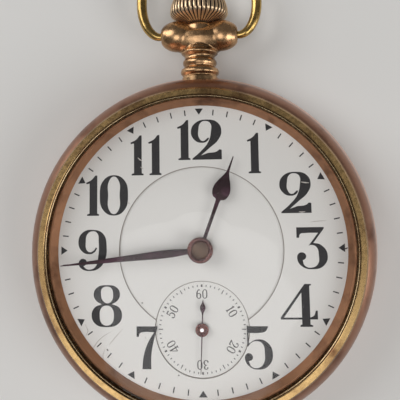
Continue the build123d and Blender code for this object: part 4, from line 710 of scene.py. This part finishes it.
class WATCH_OT_minute_track(bpy.types.Operator):
    """Prints the minute ticks and the triangles at every fifth minute"""
    bl_idname = "watch.minute_track"
    bl_label = "Minute track"

    def execute(self, context):
        s = context.scene.watch_dial
        low, high = Z_RING - INK_FOOT, Z_RING + s.ink_height
        tick = box_shape(s.tick_length, s.tick_width, low, high)
        ticks = ring_of("minute_ticks", tick, "dial_ink", 60, s.tick_radius, radians(90), 5)
        half, deep = s.triangle_width / 2, s.triangle_height / 2
        points = [(x, y, z) for z in (low, high) for x, y in ((-deep, 0), (deep, -half), (deep, half))]
        faces = [(0, 2, 1), (3, 4, 5), (0, 1, 4, 3), (1, 2, 5, 4), (2, 0, 3, 5)]
        wedge = mesh_object("wedge_shape", points, faces, "dial_ink")
        wedges = ring_of("five_minute_triangles", wedge, "dial_ink", 12, s.triangle_radius, radians(90))
        for piece in (ticks, wedges):
            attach(piece, "case")
        return {"FINISHED"}


def band(name, inner, outer, z, gap, centre=(0, 0)):
    """Flat printed band, open by twice the gap angle towards six o'clock."""
    low, high, steps = z - 0.05 * MM, z + 0.008 * MM, 240
    points = []
    for i in range(steps + 1 if gap else steps):
        t = -pi / 2 + gap + (tau - 2 * gap) * i / steps
        points += [(centre[0] + r * cos(t), centre[1] + r * sin(t), h)
                   for r, h in ((inner, low), (inner, high), (outer, high), (outer, low))]
    rows = [list(range(k, k + 4)) for k in range(0, len(points), 4)]
    ends = [rows[0], rows[-1]] if gap else []
    return mesh_object(name, points, skin(rows, not gap) + ends, "rule_ink")


class WATCH_OT_rules(bpy.types.Operator):
    """Draws the fine circles round the dial's centre and the seconds dial"""
    bl_idname = "watch.rules"
    bl_label = "Dial rules"

    def execute(self, context):
        r_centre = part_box("dial_centre")[1].x
        r_second = (SECONDS_HIGH.x - SECONDS_LOW.x) / 2
        seconds_y = SECONDS_MID[1]
        # the rule stops where the seconds dial cuts into it
        cos_gap = (r_centre ** 2 + seconds_y ** 2 - r_second ** 2) / (2 * r_centre * -seconds_y)
        gap = pi / 2 - asin(cos_gap)
        centre = band("centre_rule", r_centre - 0.06 * MM, r_centre + 0.04 * MM, Z_RING, gap)
        second = band("seconds_rule", r_second - 0.09 * MM, r_second, Z_SECONDS, 0, SECONDS_MID)
        for piece in (centre, second):
            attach(piece, "case")
        return {"FINISHED"}


class WATCH_OT_seconds_track(bpy.types.Operator):
    """Prints the seconds marks and their figures, which stand along the radius"""
    bl_idname = "watch.seconds_track"
    bl_label = "Seconds track"

    def execute(self, context):
        low, high = Z_SECONDS - INK_FOOT, Z_SECONDS + 0.01 * MM
        middle = (*SECONDS_MID, 0)
        pieces = []
        # length and width of a mark, how many, their radius, the first one's angle, and which are left out
        for name, size_x, size_y, count, radius, start, skip in (
                ("seconds_dots", 0.26, 0.12, 60, 6.12, 90, 5), ("quarter_marks", 0.62, 0.11, 6, 6.0, 60, 0),
                ("ten_marks", 0.34, 0.24, 6, 6.12, 90, 0)):
            mark = box_shape(size_x * MM, size_y * MM, low, high)
            pieces.append(ring_of(name, mark, "seconds_ink", count, radius * MM, radians(start), skip,
                                  middle))
        numbers = []
        for value in (60, 10, 20, 30, 40, 50):
            at = placed(middle, -radians(value * 6)) @ placed((0, 4.95 * MM, 0))
            contours = figures(str(value), 1.32, 0.12, THIN_FIGURES)
            numbers.append(filled("figure", contours, "seconds_ink", low, high, at))
        for piece in (*pieces, join("seconds_figures", numbers)):
            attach(piece, "case")
        return {"FINISHED"}


# half width, finish, how far the top is above the ink's, and the points of each stroke, all in mm
DIAL_MARKS = (
    ("hairlines", 0.035, "crack", -0.004, (
        "-13.1,-11.6 -14.3,-12.2 -15.2,-13 -15.9,-14 -16,-14.1",
        "-11.5,-11.2 -12.6,-12.4 -13.1,-13 -13.5,-13.5", "-14.1,-14 -14.4,-14.8 -14.4,-15.4 -14.3,-16.3",
        "15.9,3.7 16.6,3.8 17.4,3.85 18.2,3.87", "-17,-10.6 -16.6,-11.5 -16.9,-12.2")),
    ("specks", 0.10, "dirt", 0, (
        "20.55,-0.2 20.8,-0.1 21.05,0", "-13.85,-14.05 -13.75,-14.15 -13.65,-14.3",
        "-3.55,-17.7 -3.45,-17.65 -3.35,-17.7", "-8.75,-7.6 -8.65,-7.6 -8.6,-7.5")),
    ("chips", 0.08, "bare_enamel", 0.008, (
        "14.7,9.5 15.3,9.4 15.9,9.35", "-9.2,13.5 -8.9,13.2 -8.6,13.05", "-8.8,12.1 -8.6,12 -8.4,11.8",
        "-10.8,6.95 -10.6,6.85 -10.4,6.65", "14.3,5.2 14.7,5.15 15.2,5.2",
        "-8.3,-12.3 -8.2,-12.5 -8.1,-12.6")))


def stroke(line, half):
    """Closed outline of a mark that is widest in its middle and runs out at both ends, in mm."""
    points = [(x, y) for x, y, _ in read_contour(line)]
    left, right = [], []
    for i, (x, y) in enumerate(points):
        before, after = points[max(i - 1, 0)], points[min(i + 1, len(points) - 1)]
        along = Vector((after[0] - before[0], after[1] - before[1])).normalized()
        w = half * sin(pi * (i + 0.4) / (len(points) - 0.2))
        left.append((x - along.y * w, y + along.x * w, "c"))
        right.append((x + along.y * w, y - along.x * w, "c"))
    return left + right[::-1]


class WATCH_OT_wear(bpy.types.Operator):
    """Adds the dial's hairline cracks, its specks and the chips in its printing"""
    bl_idname = "watch.wear"
    bl_label = "Hairlines and chips"

    def execute(self, context):
        low, high = Z_RING - INK_FOOT, Z_RING + context.scene.watch_dial.ink_height
        for name, half, look, above, strokes in DIAL_MARKS:
            top = high + above * MM
            piece = join(name, [filled("stroke", [stroke(line, half)], look, low, top)
                                for line in strokes])
            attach(piece, "case")
        return {"FINISHED"}


def melt(piece, passes):
    """Runs the overlapping forms into one another and softens the creases in so many passes."""
    remesh = piece.modifiers.new("melt", "REMESH")
    remesh.mode = "VOXEL"
    remesh.voxel_size = 0.09 * MM
    soften = piece.modifiers.new("soften", "SMOOTH")
    soften.factor = 0.5
    soften.iterations = passes
    settle(piece, "pendant_gold")


def cut(piece, cutters):
    for cutter in cutters:
        modifier = piece.modifiers.new("cut", "BOOLEAN")
        modifier.operation = "DIFFERENCE"
        modifier.object = cutter
    settle(piece, "pendant_gold")
    for cutter in cutters:
        bpy.data.objects.remove(cutter)


class WATCH_OT_pendant(bpy.types.Operator):
    """Models the pendant in one soft form: beaded neck, funnel and two egg shaped ears"""
    bl_idname = "watch.pendant"
    bl_label = "Pendant"

    def execute(self, context):
        foot, end_x, axis_y = CASE_R / MM, EAR_X / MM, (BOW_LOW.y + BOW_WIRE_R) / MM
        neck = raised(foot, (0, -0.9), (2.75, -0.9), (2.78, 0.1), (2.6, 0.25), (2.72, 0.42), (2.98, 0.75),
                      (3.02, 1.05), (2.88, 1.4), (2.5, 1.68), (2.38, 1.82), (2.5, 1.98), (2.66, 2.3),
                      (2.66, 2.62), (2.5, 2.88), (2.36, 3.05), (2.34, 3.4), (2.52, 3.62), (2.86, 3.9),
                      (2.92, 4.12), (2.78, 4.34), (2.5, 4.5), (2.4, 4.9)) + [(0, axis_y)]
        funnel = raised(foot, (0, 4.1), (2.8, 4.1), (3.2, 4.3), (3.9, 4.65), (4.6, 5.1), (5.2, 5.75),
                        (5.5, 6.4)) + raised(axis_y, (5.4, 0.3), (4.2, 1.0), (0, 1.0))
        collar = (raised(foot, (0, 4.5), (2.2, 4.5))
                  + raised(axis_y, (2.25, 1.5), (2.1, 1.72), (0, 1.74)))
        # radius of an ear at each distance from its outer end
        half = [(r, end_x - inset) for r, inset in (
            (0.0, 0.02), (1.1, 0.02), (1.32, 0.12), (1.7, 0.45), (2.04, 0.95), (2.32, 1.6), (2.46, 2.3),
            (2.46, 2.9), (2.34, 3.5), (2.16, 4.2), (2.04, 5.0))]
        ears = [(r, -x) for r, x in half] + [(2.0, 0)] + half[::-1]
        stem = placed((0, 0, STEM_Z), radians(-90), "X")
        across = placed((0, axis_y * MM, STEM_Z), radians(90), "Y")
        flat = Matrix.Translation((0, 0, STEM_Z)) @ Matrix.Diagonal((1, 1, 0.45, 1)) @ stem.to_3x3().to_4x4()
        gold = "pendant_gold"
        head = join("head", [lathe("funnel", funnel, gold, 96, flat),
                             lathe("collar", collar, gold, 96, stem), lathe("ears", ears, gold, 96, across)])
        melt(head, 24)
        piece = join("pendant_body", [lathe("neck", neck, gold, 96, stem), head])
        melt(piece, 4)
        bore = raised(foot, (0, -3), (1.72, -3)) + raised(axis_y, (1.72, 4), (0, 4))
        holes = [lathe("hole", [(0, -1.5), (0.69, -1.5), (0.69, 1), (0, 1)], gold, 40,
                       placed((side * (end_x - 0.2) * MM, axis_y * MM, STEM_Z), radians(90 * side), "Y"))
                 for side in (-1, 1)]
        cut(piece, [lathe("bore", bore, gold, 64, stem)] + holes)
        shade(piece, 40)
        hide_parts("pendant")
        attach(piece, "case")
        return {"FINISHED"}


def tube(name, path, sides):
    points = []
    for k, (x, y, r) in enumerate(path):
        before, after = path[max(k - 1, 0)], path[min(k + 1, len(path) - 1)]
        along = Vector((after[0] - before[0], after[1] - before[1], 0)).normalized()
        side = Vector((along.y, -along.x, 0))
        for i in range(sides):
            t = tau * i / sides
            points.append(Vector((x, y, STEM_Z)) + side * (r * cos(t)) + Vector((0, 0, r * sin(t))))
    rows = [list(range(k, k + sides)) for k in range(0, len(points), sides)]
    return mesh_object(name, points, skin(rows) + [rows[0], rows[-1]], "bow_gold", 50)


class WATCH_OT_bow(bpy.types.Operator):
    """Bends the bow from round wire that thins towards the ears"""
    bl_idname = "watch.bow"
    bl_label = "Bow"

    def execute(self, context):
        wire, thin = BOW_WIRE_R, context.scene.watch_case.bow_ear_r
        half = BOW_HIGH.x - wire
        axis_y, arch_y = BOW_LOW.y + wire, BOW_HIGH.y - wire - half
        start_x, corner = EAR_X + 0.1 * MM, 5.2 * MM
        right = [(EAR_X - 1.2 * MM, axis_y, thin), (EAR_X - 0.4 * MM, axis_y, thin)]
        for i in range(15):
            t = pi / 2 * i / 14
            swell = thin + (wire - thin) * sin(t) ** 0.8
            right.append((start_x + (half - start_x) * sin(t), axis_y + corner * (1 - cos(t)), swell))
        for i in range(1, 9):
            right.append((half, axis_y + corner + (arch_y - axis_y - corner) * i / 8, wire))
        for i in range(1, 33):
            t = pi / 2 * i / 32
            right.append((half * cos(t), arch_y + half * sin(t), wire))
        piece = tube("bow_wire", right + [(-x, y, r) for x, y, r in right[-2::-1]], 32)
        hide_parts("bow")
        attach(piece, "bow")
        return {"FINISHED"}


class WATCH_OT_crown(bpy.types.Operator):
    """Models the crown with rounded cords between its flutes, and shade painted near black into the gaps
    between the cords
    """
    bl_idname = "watch.crown"
    bl_label = "Crown"

    def execute(self, context):
        flutes, per, depth = context.scene.watch_case.flutes, 10, 0.30
        top, full = CROWN_HIGH.y / MM, (CROWN_HIGH.x - CROWN_LOW.x) / 2 / MM
        widest, cap = top - 4.2, 1.45
        # the third value is how far a row swells into cords
        profile = [(r, top - y, cord) for r, y, cord in (
            (1.1, 5.83, 0.0), (2.0, 5.82, 0.0), (2.35, 5.66, 0.4), (3.05, 5.36, 0.9), (3.7, 5.08, 1.0),
            (4.15, 4.82, 1.0), (full - 0.12, 4.54, 1.0), (full, 4.2, 1.0))]
        for i in range(1, 12):
            t = pi / 2 * i / 12.6
            profile.append((cap + (full - cap) * cos(t), widest + (top - 0.25 - widest) * sin(t), 1.0))
        r, y, _ = profile[-1]
        profile += [(r - 0.18, y + 0.09, 0.6), (r - 0.32, y + 0.13, 0.0), (r * 0.5, top - 0.06, 0.0),
                    (0, top, 0.0)]

        def sink(i, cord):
            u = 2 * (i % per) / per - 1
            return depth * cord * (1 - sqrt(1 - u * u))

        upright = Matrix(((1, 0, 0, 0), (0, 0, 1, 0), (0, 1, 0, STEM_Z), (0, 0, 0, 1)))
        body = lathe("crown_cords_body", profile, "crown_gold", flutes * per, upright, 60, sink)
        # Painted shade: the faces in the gaps between the cords take a near black finish where shade falls.
        body.data.materials.append(finish("painted_flute_gap_shade"))
        for p in body.data.polygons:
            x, z = p.center.x, p.center.z - STEM_Z
            phase = atan2(z, x) / tau * flutes % 1
            if min(phase, 1 - phase) < 0.17 and hypot(x, z) > 2.1 * MM:
                p.material_index = 1
        at = placed((0, CROWN_LOW.y, STEM_Z), radians(-90), "X")
        pipe = lathe("crown_pipe", [(0.97, 0), (1.26, 0), (1.26, 2.6), (0.97, 2.6)], "crown_gold", 48, at)
        piece = join("crown_cords", [body, pipe])
        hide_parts("crown")
        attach(piece, "stem")
        return {"FINISHED"}


# body, thickness and rounding of each hand, and the right half of its blade's outline from the tip, in mm
HANDS = {
    "hour_hand": ("hour", 0.2, 0.06, "0.07,14.25c 0.13,13 0.2,11.9c 0.52,11.1 0.95,10.25 1.26,9.3 1.22,8.5 "
                  "0.86,7.85 0.4,7.62 0.3,7.2c 0.25,5 0.27,1.2c"),
    "minute_hand": ("centre", 0.2, 0.06, "0.06,20.4c 0.15,18.3 0.28,15 0.45,9.5 0.57,6 0.54,4 0.38,1.8c "
                    "0.38,0.8c"),
    "seconds_hand": ("fourth", 0.14, 0.03, "0.04,6.12c 0.09,0.5c 0.085,-1.9c 0.12,-2.3 0.40,-3.05 "
                     "0.12,-3.8 0.03,-4.2c"),
}


def hour_boss(low, high, turn):
    boss = raised(low, (1.17, 0), (1.8, 0)) + raised(high, (1.8, -0.08), (1.72, 0), (1.17, 0))
    return [lathe("hour_boss", boss, "dark_steel", 96, turn)]


def minute_hub(low, high, turn):
    rim = raised(low, (0.74, 0), (1.78, 0), (1.85, 0.08)) + raised(
        high, (1.85, -0.3), (1.78, -0.14), (1.62, -0.08), (1.42, -0.1), (1.3, -0.2), (1.22, -0.32),
        (0.74, -0.34))
    cap = raised(high, (0, -0.33), (1.2, -0.33), (1.12, -0.24), (0.95, -0.14), (0.65, -0.05),
                 (0.3, -0.01), (0, 0))
    return [lathe("hub_rim", rim, "hub_rim", 128, turn), lathe("hub_cap", cap, "hub_brown", 96, turn)]


def seconds_boss(low, high, turn):
    boss = raised(low, (0.27, 0), (0.92, 0), (0.95, 0.04)) + raised(
        high, (0.95, -0.06), (0.88, 0), (0.6, 0), (0.5, -0.05), (0.27, -0.05))
    return [lathe("seconds_boss", boss, "hub_rim", 80, turn)]


class WATCH_OT_hands(bpy.types.Operator):
    """Cuts the three hands from darkened steel with rounded edges, and turns the hub"""
    bl_idname = "watch.hands"
    bl_label = "Hands"

    def execute(self, context):
        s = context.scene.watch_hands
        for name, clockwise, centre, hub in (
                ("hour_hand", s.hour_angle, (0, 0), hour_boss),
                ("minute_hand", s.minute_angle, (0, 0), minute_hub),
                ("seconds_hand", s.seconds_angle, SECONDS_MID, seconds_boss)):
            body, thick, bevel, half = HANDS[name]
            low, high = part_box(name)
            turn = placed((*centre, 0), -clockwise)
            right = read_contour(half)
            outline = right + [(-x, y, kind) for x, y, kind in right[::-1]]
            blade = filled(name + "_blade", [outline], "dark_steel", low.z, low.z + thick * MM, turn,
                           bevel * MM)
            shade(blade, 50)
            piece = join(name + "_piece", [blade] + hub(low.z / MM, high.z / MM, turn))
            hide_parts(name)
            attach(piece, body)
        return {"FINISHED"}


class WATCH_OT_bezel_bead(bpy.types.Operator):
    """Sets the fine bead on the lip that holds the glass"""
    bl_idname = "watch.bezel_bead"
    bl_label = "Bead at the glass"

    def execute(self, context):
        bead_r, sides = 0.045, 10
        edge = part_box("crystal")[1].x / MM - 0.23
        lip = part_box("bezel")[1].z / MM - 0.2
        ring = [(edge + bead_r * cos(tau * i / sides), lip + bead_r * sin(tau * i / sides))
                for i in range(sides)]
        bead = lathe("glass_bead", ring, "pale_gold", 256, smooth=60)
        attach(bead, "bezel")
        return {"FINISHED"}


def screw_head(r, height, at, turn_deg):
    """Round head whose slot runs across it; it faces the back of the watch."""
    half, deep, edge, count = 0.13 * MM, 0.18 * MM, 0.06 * MM, 17
    spin = placed(at, radians(turn_deg))
    base = lathe("head", [(0, deep / MM), (r / MM, deep / MM), (r / MM, height / MM), (0, height / MM)],
                 "screw_steel", 48, spin)
    points, faces = [], []
    for side in (-1, 1):
        rows = []
        for reach, z in ((r, deep), (r, edge), (r - edge, 0)):
            rows.append(list(range(len(points), len(points) + count)))
            start = asin(half / reach)
            for i in range(count):
                t = start + (pi - 2 * start) * i / (count - 1)
                points.append(spin @ Vector((reach * cos(t) * side, reach * sin(t) * side, z)))
        faces += skin(rows) + [rows[0], rows[2]]
    return join("head", [base, mesh_object("lobes", points, faces, "screw_steel")])


class WATCH_OT_screws(bpy.types.Operator):
    """Gives the movement's screws turned heads with slots and rounded edges"""
    bl_idname = "watch.screws"
    bl_label = "Screw heads"

    def execute(self, context):
        heads = []
        for low, high in loose_parts(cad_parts["movement_screws"]):
            r, full = (high.x - low.x) / 2, (high.z - low.z) / MM
            at = Vector(((high.x + low.x) / 2, (high.y + low.y) / 2, low.z))
            heads.append(screw_head(r, 0.4 * MM, at, len(heads) * 47))
            shank = [(0, 0.3), (r * 0.5 / MM, 0.3), (r * 0.5 / MM, full), (0, full)]
            heads.append(lathe("shank", shank, "screw_steel", 32, placed(at)))
        piece = join("screw_heads", heads)
        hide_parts("movement_screws")
        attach(piece, "case")
        return {"FINISHED"}


def lamp(name, at, size, power):
    """Round lamp that points at the middle of the watch."""
    data = bpy.data.lights.new(name, "AREA")
    data.shape = "DISK"
    data.size = size
    data.energy = power
    holder = linked(name, data)
    holder.location = at
    holder.rotation_euler = (Vector((0, 0, 0.01)) - at).to_track_quat("-Z", "Y").to_euler()


class WATCH_OT_stage(bpy.types.Operator):
    """Sets the floor, the lamps and the camera"""
    bl_idname = "watch.stage"
    bl_label = "Stage"

    def execute(self, context):
        scene, s = context.scene, context.scene.watch_stage
        corners = [(-2, -2, 0), (2, -2, 0), (2, 2, 0), (-2, 2, 0)]
        floor = mesh_object("floor", corners, [(0, 1, 2, 3)], "floor")
        scene.world = bpy.data.worlds.new("surround")
        scene.world.use_nodes = True
        back = scene.world.node_tree.nodes["Background"]
        back.inputs["Color"].default_value = (0.99, 0.98, 0.96, 1)
        back.inputs["Strength"].default_value = s.world
        # where each lamp stands, its diameter and its power
        for name, at, size, power in (("key", (-0.27, 0.14, 0.27), 0.28, s.key),
                                      ("side", (0.27, -0.13, 0.25), 0.24, s.side),
                                      ("top", (-0.03, -0.10, 0.36), 0.24, s.top),
                                      ("low_left", (-0.30, 0.17, 0.07), 0.12, s.low),
                                      ("low_right", (0.33, -0.08, 0.07), 0.12, s.low)):
            lamp(name, Vector(at), size, power)
        camera = bpy.data.cameras.new("camera")
        camera.lens = 54.0
        camera.sensor_width = 36
        camera.shift_y = -0.175
        camera.clip_start = 0.005
        holder = linked("camera", camera)
        right, down, ahead = (Vector(axis) for axis in (
            (0.99747, -0.01589, -0.06926), (-0.02342, -0.99372, -0.10938), (-0.06708, 0.11073, -0.99158)))
        turn = Matrix((right, -down, -ahead)).transposed()
        holder.matrix_world = Matrix.Translation((6.12 * MM, 7.57 * MM, Z_RING + 88.41 * MM)) @ turn.to_4x4()
        scene.camera = holder
        scene.view_settings.view_transform = "Standard"
        return {"FINISHED"}


class WATCH_PT_panel(bpy.types.Panel):
    """Lists the pieces of the watch"""
    bl_idname = "WATCH_PT_panel"
    bl_label = "Pocket watch"
    bl_space_type = "VIEW_3D"
    bl_region_type = "UI"
    bl_category = "Watch"

    def draw(self, context):
        for operator in OPERATORS:
            self.layout.operator(operator.bl_idname)
        for name in SETTINGS:
            group = getattr(context.scene, name)
            box = self.layout.box()
            for key in group.__annotations__:
                box.prop(group, key)


OPERATORS = (WATCH_OT_finishes, WATCH_OT_numerals, WATCH_OT_minute_track, WATCH_OT_rules,
             WATCH_OT_seconds_track, WATCH_OT_wear, WATCH_OT_hands, WATCH_OT_bezel_bead, WATCH_OT_pendant,
             WATCH_OT_bow, WATCH_OT_crown, WATCH_OT_screws, WATCH_OT_stage)
SETTINGS = {"watch_dial": DialSettings, "watch_hands": HandSettings, "watch_case": CaseSettings,
            "watch_stage": StageSettings}


def register():
    for cls in (*SETTINGS.values(), *OPERATORS, WATCH_PT_panel):
        bpy.utils.register_class(cls)
    for name, cls in SETTINGS.items():
        setattr(bpy.types.Scene, name, PointerProperty(type=cls))


def unregister():
    for name in SETTINGS:
        delattr(bpy.types.Scene, name)
    for cls in (WATCH_PT_panel, *reversed(OPERATORS), *SETTINGS.values()):
        bpy.utils.unregister_class(cls)


def main():
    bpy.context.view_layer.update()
    register()
    for operator in OPERATORS:
        group, name = operator.bl_idname.split(".")
        if getattr(getattr(bpy.ops, group), name)() != {"FINISHED"}:
            raise RuntimeError(operator.bl_label)


if __name__ == "__main__":
    main()
